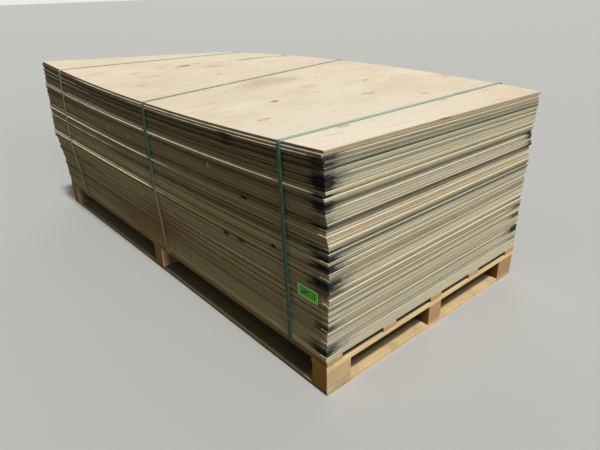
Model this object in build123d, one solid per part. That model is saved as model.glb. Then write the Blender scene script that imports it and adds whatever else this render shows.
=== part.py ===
from build123d import *

import os
from math import cos, radians, sin

# A stack of plywood sheets on a four-way block pallet, held by three flat straps.
# Millimetres. X runs along the sheets, with the front end at +X. Y runs across them, with the
# near side at -Y and the far side at +Y. The origin is at floor level under the middle.

# Sheets
SHEET_LENGTH = 2440.0
SHEET_WIDTH = 1220.0
SHEET_THICKNESS = 9.0
SHEET_COUNT = 75
SHEETS_PER_TIER = 5
SHEET_GAP = 0.3

# The boards have taken a twist: the near edge hangs in its middle and the far edge crowns.
# Lift of the top sheet over a flat stack at its rear end, middle and front end.
NEAR_LIFT = (58.0, 10.0, 38.0)
FAR_LIFT = (1.0, 52.5, 28.0)
# Lower sheets have a share of it: at the rear end it grows evenly, elsewhere mostly near the top.
REAR_GROWTH = 1.0
WARP_GROWTH = 2.0

# How the load wanders on its way up: share of its height, shift along, shift across and
# turn in degrees.
DRIFT = (
    (0.00, -2.0, 1.0, -0.10),
    (0.20, -6.0, 2.0, 0.25),
    (0.45, 2.0, -16.0, 0.70),
    (0.77, 0.0, -15.0, 0.25),
    (1.00, 5.0, -15.0, -0.20),
)

# Each sheet is also a little off its neighbours, and some stand out or lie back: how far out
# they are at the near side, at its rear and front corners, and how far at the front end.
RAGGED_ALONG = 0.8
RAGGED_ACROSS = 0.7
STRIDE_ALONG = 2.4
STRIDE_ACROSS = 4.1
OUT_NEAR = {
    **dict.fromkeys((5, 12, 39), (3.0, 3.0)),
    **dict.fromkeys((23, 48), (6.0, 4.0)),
    **dict.fromkeys((31, 33), (8.0, 5.0)),
    **dict.fromkeys((34, 42, 44, 62, 65, 70), (4.0, 0.0)),
    **dict.fromkeys((60, 61), (6.0, 6.5)),
    **dict.fromkeys((68, 73), (4.0, 3.0)),
    **dict.fromkeys((57, 63), (2.5, 0.0)),
    **dict.fromkeys((16, 43, 51, 64, 66, 71), (-1.5, -2.5)),
    72: (2.0, 7.0),
}
OUT_FRONT = {
    **dict.fromkeys((44, 52), 6.0),
    **dict.fromkeys((28, 42, 45), 4.5),
    **dict.fromkeys((15, 25, 39, 46, 60, 62, 68), 3.0),
    **dict.fromkeys((2, 7, 24, 35, 41, 47, 53, 72), 1.5),
    **dict.fromkeys((6, 12, 27, 49, 55, 56), -1.5),
    **dict.fromkeys((13, 38, 50, 61, 73), -3.0),
    **dict.fromkeys((26, 43, 51, 57, 58), -5.0),
}

# Pallet
DECK_BOARD_WIDTH = 75.0
DECK_BOARD_THICKNESS = 21.0
DECK_BOARD_SHIFTS = (0.0, 0.0, 0.0, -16.0, 0.0)
CROSS_BOARD_WIDTH = 80.0
CROSS_BOARD_THICKNESS = 20.0
BLOCK_LENGTH = 75.0
BLOCK_HEIGHT = 88.0
SIDE_BLOCK_WIDTH = 117.0
CENTRE_BLOCK_WIDTH = 80.0
BASE_BOARD_THICKNESS = 15.0
END_BASE_BOARD_WIDTH = 95.0

# Straps
STRAP_WIDTH = 19.0
STRAP_THICKNESS = 0.8
STRAP_CLEARANCE = 1.1
STRAP_TOP_STEPS = 6
# Place along the load, from its rear end, middle or front end, at the strap's near top edge, its
# near foot and its far top edge
STRAPS = {
    "rear": (302.0, 300.0, 290.0),
    "middle": (117.0, 115.0, 57.0),
    "front": (-185.0, -186.0, -187.0),
}
# Where a strap's ends lie one on the other, welded, from the near edge across the top
WELDS = {"front": 890.0}
WELD_LENGTH = 80.0

# Sticker on the near side
LABEL_LENGTH = 96.0
LABEL_HEIGHT = 45.0
LABEL_THICKNESS = 0.3
LABEL_CLEARANCE = 0.3
LABEL_FROM_FRONT = 42.0
LABEL_CENTRE_HEIGHT = 376.0

# Levels and places that follow from the sizes
PALLET_LENGTH = SHEET_LENGTH
PALLET_WIDTH = SHEET_WIDTH
BLOCK_TOP = BASE_BOARD_THICKNESS + BLOCK_HEIGHT
CROSS_TOP = BLOCK_TOP + CROSS_BOARD_THICKNESS
DECK_TOP = CROSS_TOP + DECK_BOARD_THICKNESS
SHEET_PITCH = SHEET_THICKNESS + SHEET_GAP
TOP_SHEET = SHEET_COUNT - 1
REAR, FRONT = -1, 1
NEAR, FAR = -1, 1
ENDS = {"rear": REAR, "middle": 0, "front": FRONT}
SIDES = {"near": NEAR, "centre": 0, "far": FAR}


def share(index):
    """How far up the load a sheet lies, from 0 at the pallet to 1 at the top."""
    return index / max(TOP_SHEET, 1)


def edge_lift(profile, along, part):
    """Parabola through a long edge's lifts at its rear end, middle and front end."""
    rear = profile[0] * part**REAR_GROWTH
    middle, front = (level * part**WARP_GROWTH for level in profile[1:])
    return middle + (front - rear) / 2 * along + ((front + rear) / 2 - middle) * along**2


def underside(index, x, y):
    """Height of a sheet's lower face at a place in plan: straight from the near edge to the far one."""
    along = 2 * x / SHEET_LENGTH
    across = y / SHEET_WIDTH + 0.5
    near = edge_lift(NEAR_LIFT, along, share(index))
    far = edge_lift(FAR_LIFT, along, share(index))
    return DECK_TOP + SHEET_GAP + index * SHEET_PITCH + near * (1 - across) + far * across


def drift(part):
    """Shift along, shift across and turn of the load at a share of its height."""
    for lower, upper in zip(DRIFT, DRIFT[1:]):
        if part <= upper[0]:
            blend = (part - lower[0]) / (upper[0] - lower[0])
            return [a + (b - a) * blend for a, b in zip(lower[1:], upper[1:])]
    return list(DRIFT[-1][1:])


def corner(index, end, side):
    """A sheet's corner in plan, with its drift and its own small offset."""
    along, across, turn = drift(share(index))
    along += RAGGED_ALONG * sin(STRIDE_ALONG * index) + OUT_FRONT.get(index, 0)
    out_rear, out_front = OUT_NEAR.get(index, (0, 0))
    across += RAGGED_ACROSS * sin(STRIDE_ACROSS * index) - (out_front if end == FRONT else out_rear)
    x = end * SHEET_LENGTH / 2
    y = side * SHEET_WIDTH / 2
    angle = radians(turn)
    return (
        along + x * cos(angle) - y * sin(angle),
        across + x * sin(angle) + y * cos(angle),
    )


def edge_place(index, side, x):
    """Where a sheet's long edge stands across the load, at a place along it."""
    rear = corner(index, REAR, side)
    front = corner(index, FRONT, side)
    return rear[1] + (front[1] - rear[1]) * (x - rear[0]) / (front[0] - rear[0])


def sheet(index):
    """One warped sheet: a surface ruled between two parabolas, raised by its thickness."""
    rows = []
    for side in (NEAR, FAR):
        rear = corner(index, REAR, side)
        front = corner(index, FRONT, side)
        middle = ((rear[0] + front[0]) / 2, (rear[1] + front[1]) / 2)
        z_rear, z_middle, z_front = (underside(index, *place) for place in (rear, middle, front))
        z_control = 2 * z_middle - (z_rear + z_front) / 2
        rows.append([(*rear, z_rear), (*middle, z_control), (*front, z_front)])
    surface = Face.make_bezier_surface(rows)
    return Solid.extrude(surface, Vector(0, 0, SHEET_THICKNESS))


def board(length, width, thickness, x, y, z):
    """A sawn board or block, centred in plan and standing on the height z."""
    return Pos(x, y, z) * Box(length, width, thickness, align=(Align.CENTER, Align.CENTER, Align.MIN))


def deck_boards():
    """Boards along the length that carry the load, evenly spaced but for where one was nailed."""
    boards = {}
    count = len(DECK_BOARD_SHIFTS)
    pitch = (PALLET_WIDTH - DECK_BOARD_WIDTH) / (count - 1)
    for number, shift in enumerate(DECK_BOARD_SHIFTS):
        y = (number - (count - 1) / 2) * pitch + shift
        boards[f"deck_board_{number + 1}"] = board(
            PALLET_LENGTH, DECK_BOARD_WIDTH, DECK_BOARD_THICKNESS, 0, y, CROSS_TOP
        )
    return boards


def cross_boards():
    """Boards across the width, between the blocks and the deck."""
    reach = (PALLET_LENGTH - CROSS_BOARD_WIDTH) / 2
    return {
        f"cross_board_{name}": board(
            CROSS_BOARD_WIDTH, PALLET_WIDTH, CROSS_BOARD_THICKNESS, end * reach, 0, BLOCK_TOP
        )
        for name, end in ENDS.items()
    }


def blocks():
    """Nine blocks in three rows, with the middle row narrower than the outer two."""
    made = {}
    for end_name, end in ENDS.items():
        x = end * (PALLET_LENGTH - BLOCK_LENGTH) / 2
        for side_name, side in SIDES.items():
            width = SIDE_BLOCK_WIDTH if side else CENTRE_BLOCK_WIDTH
            y = side * (PALLET_WIDTH - width) / 2
            made[f"block_{end_name}_{side_name}"] = board(
                BLOCK_LENGTH, width, BLOCK_HEIGHT, x, y, BASE_BOARD_THICKNESS
            )
    return made


def base_boards():
    """A frame of boards on the floor: two full-length sides, two ends and a centre runner."""
    made = {}
    for name, side in (("near", NEAR), ("far", FAR)):
        y = side * (PALLET_WIDTH - SIDE_BLOCK_WIDTH) / 2
        made[f"base_board_{name}"] = board(
            PALLET_LENGTH, SIDE_BLOCK_WIDTH, BASE_BOARD_THICKNESS, 0, y, 0
        )
    for name, end in (("rear", REAR), ("front", FRONT)):
        x = end * (PALLET_LENGTH - END_BASE_BOARD_WIDTH) / 2
        length = PALLET_WIDTH - 2 * SIDE_BLOCK_WIDTH
        made[f"base_board_{name}"] = board(
            END_BASE_BOARD_WIDTH, length, BASE_BOARD_THICKNESS, x, 0, 0
        )
    made["base_board_centre"] = board(
        PALLET_LENGTH - 2 * END_BASE_BOARD_WIDTH, CENTRE_BLOCK_WIDTH, BASE_BOARD_THICKNESS, 0, 0, 0
    )
    return made


def turns_left(first, second, third):
    """Whether three points in a plane turn anticlockwise."""
    a = (second[0] - first[0]) * (third[1] - first[1])
    b = (second[1] - first[1]) * (third[0] - first[0])
    return a - b > 0


def taut_outline(points):
    """The line that a tight band takes round a set of points: their convex outline."""
    outline = []
    ordered = sorted(points)
    for walk in (ordered, ordered[::-1]):
        chain = []
        for point in walk:
            while len(chain) > 1 and not turns_left(chain[-2], chain[-1], point):
                chain.pop()
            chain.append(point)
        outline += chain[:-1]
    return outline


def strap_plane(near_top, near_foot, far_top):
    """The plane that a strap lies in, through three of its places along the load."""
    top = underside(TOP_SHEET, near_top, -SHEET_WIDTH / 2) + SHEET_THICKNESS
    far = underside(TOP_SHEET, far_top, SHEET_WIDTH / 2) + SHEET_THICKNESS
    near_corner = Vector(near_top, -SHEET_WIDTH / 2, top)
    near_base = Vector(near_foot, -PALLET_WIDTH / 2, CROSS_TOP)
    far_corner = Vector(far_top, SHEET_WIDTH / 2, far)
    across = far_corner - near_corner
    up = near_corner - near_base
    return Plane(origin=near_corner, x_dir=across, z_dir=across.cross(up))


def strap(name):
    """A flat band round the load and under the deck boards, tight on what stands out."""
    places = [ENDS[name] * SHEET_LENGTH / 2 + step for step in STRAPS[name]]
    plane = strap_plane(*places)
    normal = plane.z_dir

    def along(y, z):
        """Place along the load where the strap's plane passes a point of its side view."""
        rest = normal.Y * (y - plane.origin.Y) + normal.Z * (z - plane.origin.Z)
        return plane.origin.X - rest / normal.X

    touched = []
    for side in (NEAR, FAR):
        edge = side * PALLET_WIDTH / 2
        for z in (CROSS_TOP, DECK_TOP):
            touched.append(Vector(along(edge, z), edge, z))
        for index in range(SHEET_COUNT):
            low = underside(index, places[0], edge)
            x = along(edge, low)
            y = edge_place(index, side, x)
            low = underside(index, x, y)
            touched.append(Vector(x, y, low))
            touched.append(Vector(x, y, low + SHEET_THICKNESS))
    for step in range(STRAP_TOP_STEPS + 1):
        y = SHEET_WIDTH * (step / STRAP_TOP_STEPS - 0.5)
        low = underside(TOP_SHEET, places[0], y)
        x = along(y, low + SHEET_THICKNESS)
        touched.append(Vector(x, y, underside(TOP_SHEET, x, y) + SHEET_THICKNESS))
    local = [plane.to_local_coords(point) for point in touched]
    outline = taut_outline([(point.X, point.Y) for point in local])
    core = make_face(Polyline(*outline, close=True))
    outer = offset(core, STRAP_CLEARANCE + STRAP_THICKNESS, kind=Kind.INTERSECTION)
    inner = offset(core, STRAP_CLEARANCE, kind=Kind.INTERSECTION)
    if name in WELDS:
        doubled = offset(core, STRAP_CLEARANCE + 2 * STRAP_THICKNESS, kind=Kind.INTERSECTION)
        window = Pos(WELDS[name], 0) * Rectangle(WELD_LENGTH, DECK_TOP, align=(Align.MIN, Align.CENTER))
        outer += doubled & window
    return extrude(plane * (outer - inner), STRAP_WIDTH / 2, both=True)


def label():
    """A sticker over the edges of a few sheets, flat on the ones that stand out most."""
    front_x = SHEET_LENGTH / 2 - LABEL_FROM_FRONT
    rear_x = front_x - LABEL_LENGTH
    bottom = LABEL_CENTRE_HEIGHT - LABEL_HEIGHT / 2
    top = LABEL_CENTRE_HEIGHT + LABEL_HEIGHT / 2
    backed = [
        index
        for index in range(SHEET_COUNT)
        if underside(index, front_x, -SHEET_WIDTH / 2) < top
        and underside(index + 1, front_x, -SHEET_WIDTH / 2) > bottom
    ]
    rear_y = min(edge_place(index, NEAR, rear_x) for index in backed) - LABEL_CLEARANCE
    front_y = min(edge_place(index, NEAR, front_x) for index in backed) - LABEL_CLEARANCE
    face = make_face(
        Polyline(
            (rear_x, rear_y, bottom),
            (front_x, front_y, bottom),
            (front_x, front_y, top),
            (rear_x, rear_y, top),
            close=True,
        )
    )
    return extrude(face, LABEL_THICKNESS, dir=(0, -1, 0))


def tiers():
    """The sheets in groups of a few, from the pallet up."""
    made = {}
    for start in range(0, SHEET_COUNT, SHEETS_PER_TIER):
        stop = min(start + SHEETS_PER_TIER, SHEET_COUNT)
        name = f"plywood_tier_{start // SHEETS_PER_TIER + 1:02d}"
        made[name] = Compound([sheet(index) for index in range(start, stop)])
    return made


def straps():
    """The three straps, from the rear to the front."""
    return {f"strap_{name}": strap(name) for name in STRAPS}


os.makedirs("parts", exist_ok=True)
nodes = {**base_boards(), **blocks(), **cross_boards(), **deck_boards(), **tiers(), **straps()}
nodes["label"] = label()
for name, shape in nodes.items():
    export_step(shape, f"parts/{name}.step")
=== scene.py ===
"""A strapped stack of plywood sheets on its pallet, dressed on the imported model. Sizes are in metres."""

from __future__ import annotations

import logging
import math
import random
from dataclasses import dataclass, field
from enum import Enum
from functools import cache, partial, reduce
from itertools import product
from typing import Iterable, Sequence

import bmesh
import bpy
from mathutils import Matrix, Vector


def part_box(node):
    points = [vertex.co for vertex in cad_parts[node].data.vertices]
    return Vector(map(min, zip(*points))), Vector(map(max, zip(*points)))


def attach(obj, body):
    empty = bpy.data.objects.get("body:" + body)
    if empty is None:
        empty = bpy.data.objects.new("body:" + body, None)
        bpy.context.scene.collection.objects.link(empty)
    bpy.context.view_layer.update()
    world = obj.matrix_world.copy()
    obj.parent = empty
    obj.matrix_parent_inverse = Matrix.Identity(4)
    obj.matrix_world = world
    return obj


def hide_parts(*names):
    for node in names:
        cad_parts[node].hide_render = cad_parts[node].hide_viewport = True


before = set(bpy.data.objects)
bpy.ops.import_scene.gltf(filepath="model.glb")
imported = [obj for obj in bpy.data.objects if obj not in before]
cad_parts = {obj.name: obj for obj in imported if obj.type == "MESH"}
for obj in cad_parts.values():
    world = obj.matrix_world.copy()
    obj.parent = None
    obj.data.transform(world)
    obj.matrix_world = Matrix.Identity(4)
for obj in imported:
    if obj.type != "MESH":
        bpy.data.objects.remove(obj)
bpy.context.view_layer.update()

log = logging.getLogger("plywood_stack")

BODY = "root"
MM = 0.001
SAME_PLACE = 0.00001
ORIGIN = (0.0, 0.0, 0.0)
REAR, FRONT = -1, 1
NEAR, FAR = -1, 1

Colour = tuple[float, float, float, float]
Place = tuple[float, float]
Triple = tuple[float, float, float]
Socket = bpy.types.NodeSocket


class Slot(Enum):
    """The record's material slots."""

    PLYWOOD = "plywood"
    PALLET_WOOD = "pallet_wood"
    STRAP = "strap"
    LABEL = "label"


class Region(Enum):
    """The kinds of surface on a sheet, as numbers that the meshes carry."""

    EDGE = 0
    FACE = 1
    TOP = 2


def paint(red: float, green: float, blue: float) -> Colour:
    """A colour for a node, from its 0 to 255 screen values.

    Args:
        red: Screen value of red.
        green: Screen value of green.
        blue: Screen value of blue.

    Returns:
        The same colour in linear light, opaque.
    """

    def linear(value: float) -> float:
        """One channel in linear light."""
        level = value / 255
        return level / 12.92 if level <= 0.04045 else ((level + 0.055) / 1.055) ** 2.4

    return (linear(red), linear(green), linear(blue), 1.0)


# -------- node trees

NUMBER = "NodeSocketFloat"
VECTOR = "NodeSocketVector"
GEOMETRY = "NodeSocketGeometry"
OBJECT = "NodeSocketObject"
MATERIAL = "NodeSocketMaterial"


class Value:
    """What a node puts out. Sums with it add nodes to its tree, so that a finish reads as a list of steps."""

    def __init__(self, graph: Graph, socket: Socket) -> None:
        """Keep the graph and the output."""
        self.graph = graph
        self.socket = socket

    def __add__(self, other: object) -> Value:
        """The sum of both."""
        return self.graph.math("ADD", self, other)

    def __mul__(self, other: object) -> Value:
        """The product of both."""
        return self.graph.math("MULTIPLY", self, other)

    __radd__ = __add__
    __rmul__ = __mul__

    def __sub__(self, other: object) -> Value:
        """This less the other."""
        return self.graph.math("SUBTRACT", self, other)

    def __rsub__(self, other: object) -> Value:
        """The other less this."""
        return self.graph.math("SUBTRACT", other, self)

    def __truediv__(self, other: object) -> Value:
        """This divided by the other."""
        return self.graph.math("DIVIDE", self, other)

    def __abs__(self) -> Value:
        """This without its sign."""
        return self.graph.math("ABSOLUTE", self)

    def coat(self, share: object, hue: object) -> Value:
        """This colour under a coat of another."""
        return self.graph.blend(share, self, hue)

    def span(self, start: object, end: object, low: object = 0.0, high: object = 1.0, smooth: bool = False) -> Value:
        """Carry a number from one range to another, kept inside it.

        Args:
            start: Where its range starts.
            end: Where its range ends.
            low: What the start becomes.
            high: What the end becomes.
            smooth: Whether it eases in and out.

        Returns:
            The number in the new range.
        """
        ease = "SMOOTHSTEP" if smooth else "LINEAR"
        values = dict(enumerate((self, start, end, low, high)))
        return self.graph.out("ShaderNodeMapRange", values, clamp=True, interpolation_type=ease)


class Graph:
    """Adds nodes to a tree and links them."""

    def __init__(self, tree: bpy.types.NodeTree) -> None:
        """Keep the tree that the nodes go into."""
        self.tree = tree

    @staticmethod
    def socket(sockets: Iterable[Socket], key: str | int) -> Socket:
        """Find a socket by its name, or by its number among those in use."""
        live = [socket for socket in sockets if socket.enabled]
        return live[key] if isinstance(key, int) else next(socket for socket in live if socket.name == key)

    def feed(self, node: bpy.types.Node, values: dict) -> None:
        """Link or set a node's inputs.

        Args:
            node: The node.
            values: What each input gets, by the input's name or number.
        """
        for key, value in values.items():
            socket = self.socket(node.inputs, key)
            if isinstance(value, Value):
                self.tree.links.new(value.socket, socket)
            else:
                socket.default_value = value

    def node(self, kind: str, values: dict | None = None, **settings: object) -> bpy.types.Node:
        """Add a node.

        Args:
            kind: The node's type.
            values: What its inputs get.
            settings: The node's own properties, which come before its inputs.

        Returns:
            The node.
        """
        node = self.tree.nodes.new(kind)
        for name, value in settings.items():
            setattr(node, name, value)
        self.feed(node, values or {})
        return node

    def out(self, kind: str, values: dict | None = None, output: str | int = 0, **settings: object) -> Value:
        """Add a node and hand on one of its outputs, found by name or number."""
        return Value(self, self.socket(self.node(kind, values, **settings).outputs, output))

    def given(self, inputs: dict[str, object]) -> dict[str, Value]:
        """Give a node group its inputs.

        Args:
            inputs: Each input's default, or its kind of socket where it has none.

        Returns:
            What the group is given, by name.
        """
        for name, value in inputs.items():
            kind = value if isinstance(value, str) else VECTOR if isinstance(value, tuple) else NUMBER
            socket = self.tree.interface.new_socket(name, in_out="INPUT", socket_type=kind)
            if kind is not value:
                socket.default_value = value
        node = self.node("NodeGroupInput")
        return {name: Value(self, node.outputs[name]) for name in inputs}

    def math(self, operation: str, *values: object) -> Value:
        """A number worked out from others."""
        return self.out("ShaderNodeMath", dict(enumerate(values)), operation=operation)

    def least(self, *values: object) -> Value:
        """The lowest of some numbers."""
        return reduce(partial(self.math, "MINIMUM"), values)

    def most(self, *values: object) -> Value:
        """The highest of some numbers."""
        return reduce(partial(self.math, "MAXIMUM"), values)

    def vector(self, operation: str, *values: object) -> Value:
        """A vector, or its length or product, worked out from others."""
        return self.out("ShaderNodeVectorMath", dict(enumerate(values)), operation=operation)

    def compose(self, *parts: object) -> Value:
        """A vector from its three parts."""
        return self.out("ShaderNodeCombineXYZ", dict(enumerate(parts)))

    def parts(self, vector: Value) -> list[Value]:
        """The three parts of a vector."""
        return [Value(self, socket) for socket in self.node("ShaderNodeSeparateXYZ", {0: vector}).outputs]

    def blend(self, share: object, first: object, second: object, mode: str = "MIX") -> Value:
        """Blend two colours by a share."""
        values = {"Factor": share, "A": first, "B": second}
        return self.out("ShaderNodeMix", values, "Result", data_type="RGBA", blend_type=mode, clamp_factor=True)

    def shaded(self, hue: Value, level: Value) -> Value:
        """A colour made darker or brighter by a level."""
        return self.blend(1.0, hue, self.compose(level, level, level), "MULTIPLY")

    def between(self, share: object, first: object, second: object, kind: str = "FLOAT") -> Value:
        """Blend two numbers or vectors by a share, also beyond them."""
        values = {"Factor": share, "A": first, "B": second}
        return self.out("ShaderNodeMix", values, "Result", data_type=kind, clamp_factor=False)

    def noise(self, place: object, scale: float, detail: float = 2.0, roughness: float = 0.5) -> Value:
        """Soft noise from 0 to 1 over a place."""
        values = {"Vector": place, "Scale": scale, "Detail": detail, "Roughness": roughness}
        return self.out("ShaderNodeTexNoise", values)

    def lot(self, place: Value) -> Value:
        """A number from 0 to 1 drawn for each place."""
        return self.out("ShaderNodeTexWhiteNoise", {"Vector": place}, "Value")

    def bump(self, strength: float, distance: float, height: Value) -> Value:
        """The normal of a surface with fine relief."""
        return self.out("ShaderNodeBump", {"Strength": strength, "Distance": distance, "Height": height})

    def place(self) -> Value:
        """The place on the object."""
        return self.out("ShaderNodeTexCoord", output="Object")

    def normal(self) -> Value:
        """The way the surface faces."""
        return self.out("ShaderNodeNewGeometry", output="Normal")

    def carried(self, name: str, vector: bool = False) -> Value:
        """A number or vector that the mesh carries, in a finish."""
        return self.out("ShaderNodeAttribute", output="Vector" if vector else "Fac", attribute_name=name)

    def stored(self, name: str, kind: str = "FLOAT") -> Value:
        """A number or vector that points or a mesh carry, in a Geometry Nodes tree."""
        return self.out("GeometryNodeInputNamedAttribute", {"Name": name}, data_type=kind)


class Effect:
    """A shader node group that several finishes share. It is built once, on its first use."""

    name: str = ""
    inputs: dict[str, float | Triple] = {}

    @classmethod
    @cache
    def group(cls) -> bpy.types.NodeTree:
        """The effect's node group, with an output for each mask that its steps end in.

        Returns:
            The group.
        """
        tree = bpy.data.node_groups.new(cls.name, "ShaderNodeTree")
        graph = Graph(tree)
        made = cls.steps(graph, graph.given(cls.inputs))
        for name in made:
            tree.interface.new_socket(name, in_out="OUTPUT", socket_type=NUMBER)
        graph.node("NodeGroupOutput", made)
        return tree

    @classmethod
    def steps(cls, graph: Graph, given: dict[str, Value]) -> dict[str, Value]:
        """What the effect does with what it is given."""
        raise NotImplementedError

    @classmethod
    def add(cls, graph: Graph, **values: object) -> dict[str, Value]:
        """Put the effect in a finish, and hand on its outputs by name."""
        node = graph.node("ShaderNodeGroup", values, node_tree=cls.group())
        return {socket.name: Value(graph, socket) for socket in node.outputs}


class WoodGrain(Effect):
    """Grain that runs along X of the place it is given: streaks, fine fibres and slow patches."""

    name = "wood_grain"
    inputs = {"Place": ORIGIN, "Along": 3.0, "Across": 120.0, "Shift": 0.0}

    @classmethod
    def steps(cls, graph: Graph, given: dict[str, Value]) -> dict[str, Value]:
        """Noise drawn out along the grain, at two finenesses, and one slow noise.

        Args:
            graph: The group's graph.
            given: The group's inputs.

        Returns:
            The masks by name.
        """
        shifted = graph.vector("ADD", given["Place"], graph.compose(*[given["Shift"]] * 3))
        drawn = graph.vector("MULTIPLY", shifted, graph.compose(given["Along"], given["Across"], given["Across"]))
        fine = graph.vector("MULTIPLY", drawn, (4.0, 5.0, 5.0))
        return {
            "Streaks": graph.noise(drawn, 1.0, 4.0, 0.6),
            "Fibres": graph.noise(fine, 1.0, 2.0, 0.5),
            "Patches": graph.noise(graph.vector("MULTIPLY", shifted, (2.0, 5.0, 5.0)), 1.0, 2.0, 0.5),
        }


class KnotMark(Effect):
    """One knot or smudge: an oval mask, its core and the thin line round it, all roughened along the grain."""

    name = "knot_mark"
    inputs = {"Place": ORIGIN, "Centre": ORIGIN, "Reach": (0.02,) * 3, "Raggedness": 0.35, "Grain": (90.0,) * 3}

    @classmethod
    def steps(cls, graph: Graph, given: dict[str, Value]) -> dict[str, Value]:
        """Distance from the centre in units of the reach, roughened by noise.

        Args:
            graph: The group's graph.
            given: The group's inputs.

        Returns:
            The masks by name.
        """
        scaled = graph.vector("DIVIDE", graph.vector("SUBTRACT", given["Place"], given["Centre"]), given["Reach"])
        rough = graph.noise(graph.vector("MULTIPLY", given["Place"], given["Grain"]), 1.0, 3.0, 0.65)
        distance = graph.vector("LENGTH", scaled) + (rough - 0.5) * given["Raggedness"] * 2.0
        return {
            "Halo": distance.span(1.0, 0.25, 0.0, 1.0, True),
            "Core": distance.span(0.55, 0.25, 0.0, 1.0, True),
            "Outline": abs(distance - 0.7).span(0.26, 0.06),
        }


class BlackStain(Effect):
    """Black mould that starts at a place and fades over its reach, with a feathered end and a blue-grey rim."""

    name = "black_stain"
    inputs = {"Place": ORIGIN, "Distance": 0.0, "Reach": 0.06, "Strength": 0.0}

    @classmethod
    def steps(cls, graph: Graph, given: dict[str, Value]) -> dict[str, Value]:
        """A falloff whose end is feathered along the sheet and spotted inside.

        Args:
            graph: The group's graph.
            given: The group's inputs.

        Returns:
            The masks by name.
        """
        drawn = graph.vector("MULTIPLY", given["Place"], (16.0, 16.0, 330.0))
        feather = graph.noise(drawn, 1.0, 3.0, 0.65)
        spots = graph.noise(given["Place"], 120.0, 3.0, 0.6)
        reach = given["Reach"] * feather.span(0.3, 0.7, 0.55, 1.35)
        share = given["Distance"] / reach
        body = share.span(1.0, 0.55, 0.0, 1.0, True) * spots.span(0.3, 0.5, 0.85, 1.0)
        rim = share.span(2.0, 0.8, 0.0, 1.0, True) * spots.span(0.35, 0.6, 0.5, 1.0)
        return {"Core": body * given["Strength"], "Rim": rim * given["Strength"]}


class Dust(Effect):
    """Pale dust that lies on what faces up and gathers in slow patches."""

    name = "dust"
    inputs = {"Place": ORIGIN, "Facing": (0.0, 0.0, 1.0), "Amount": 0.3}

    @classmethod
    def steps(cls, graph: Graph, given: dict[str, Value]) -> dict[str, Value]:
        """Patches and specks, held to surfaces that face up.

        Args:
            graph: The group's graph.
            given: The group's inputs.

        Returns:
            The masks by name.
        """
        up = graph.parts(given["Facing"])[2].span(0.3, 0.95)
        patches = graph.noise(given["Place"], 6.0, 4.0, 0.6).span(0.35, 0.7)
        specks = graph.noise(given["Place"], 420.0, 1.0, 0.5).span(0.62, 0.72)
        both = graph.most(patches, specks)
        return {"Mask": both * up * given["Amount"]}


# -------- finishes


@dataclass(frozen=True)
class Finish:
    """What every finish has: a name, and a look that its Principled shader is fed."""

    name: str

    def make(self) -> bpy.types.Material:
        """Build the material.

        Returns:
            The material.
        """
        material = bpy.data.materials.new(self.name)
        material.use_nodes = True
        graph = Graph(material.node_tree)
        shader = next(node for node in material.node_tree.nodes if node.type == "BSDF_PRINCIPLED")
        graph.feed(shader, self.look(graph))
        return material

    def look(self, graph: Graph) -> dict[str, object]:
        """What the shader is fed, by input."""
        raise NotImplementedError


class MarkKind(Enum):
    """What a knot, smudge, stain or painted reflection is: the colours of its halo and core, and how strongly it
    shows.
    """

    KNOT = (paint(218, 184, 134), paint(132, 82, 32), 0.9)
    DARK_KNOT = (paint(186, 140, 84), paint(98, 58, 18), 1.0)
    CRACK = (paint(150, 96, 62), paint(70, 34, 22), 1.0)
    GREY_SMUDGE = (paint(194, 166, 126), paint(168, 150, 122), 0.8)
    BROWN_SMUDGE = (paint(192, 150, 106), paint(166, 126, 88), 0.75)
    RED_SMUDGE = (paint(206, 162, 124), paint(184, 136, 98), 0.65)
    BLACK_MARK = (paint(40, 36, 32), paint(14, 14, 14), 0.95)
    RED_BROWN = (paint(150, 112, 80), paint(112, 70, 48), 0.7)
    # A reddish tint that is a painted reflection.
    RED_TINT = (paint(150, 114, 78), paint(148, 110, 74), 0.36)
    ORANGE = (paint(200, 164, 124), paint(182, 140, 100), 0.34)
    PALE_CHIP = (paint(232, 222, 192), paint(240, 232, 208), 0.95)


@dataclass(frozen=True)
class Mark:
    """One knot, smudge, stain or painted reflection, in millimetres along a surface and across or up it."""

    kind: MarkKind
    along: float
    across: float
    reach_along: float
    reach_across: float

    def spot(self, graph: Graph, place: Value, height: float, **values: object) -> dict[str, Value]:
        """The mark's masks on a surface.

        Args:
            graph: The finish's graph.
            place: Place along the surface and across or up it.
            height: The third part of the place, where it counts.
            values: What else the effect gets.

        Returns:
            The masks by name.
        """
        centre = (self.along * MM, self.across * MM, height)
        reach = (self.reach_along * MM, self.reach_across * MM, 1.0)
        return KnotMark.add(graph, Place=place, Centre=centre, Reach=reach, **values)


def mark_list(*groups: tuple) -> tuple[Mark, ...]:
    """Marks in the order in which they are laid, from groups of one kind."""
    return tuple(Mark(kind, *row) for kind, *rows in groups for row in rows)


SIDE_MARKS = mark_list(
    (
        MarkKind.BLACK_MARK, (735, 836, 70, 9.0), (738, 819, 70, 8.5), (740, 801, 60, 8.0), (813, 622, 36, 10.0),
        (962, 488, 26, 10.0), (680, 437, 30, 11.0), (776, 441, 42, 8.5),
    ),
    (MarkKind.RED_BROWN, (8, 208, 16, 20)),
    # A reddish tint low on the near side: painted reflection.
    (MarkKind.RED_TINT, (-160, 200, 560, 150), (120, 300, 420, 140)),
    (MarkKind.RED_BROWN, (540, 200, 12, 8)),
    (
        MarkKind.PALE_CHIP, (-330, 665, 14, 7), (-100, 664, 12, 5), (-60, 386, 14, 12), (596, 690, 5, 15),
        (215, 372, 6, 11), (460, 350, 7, 9),
    ),
)

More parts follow.
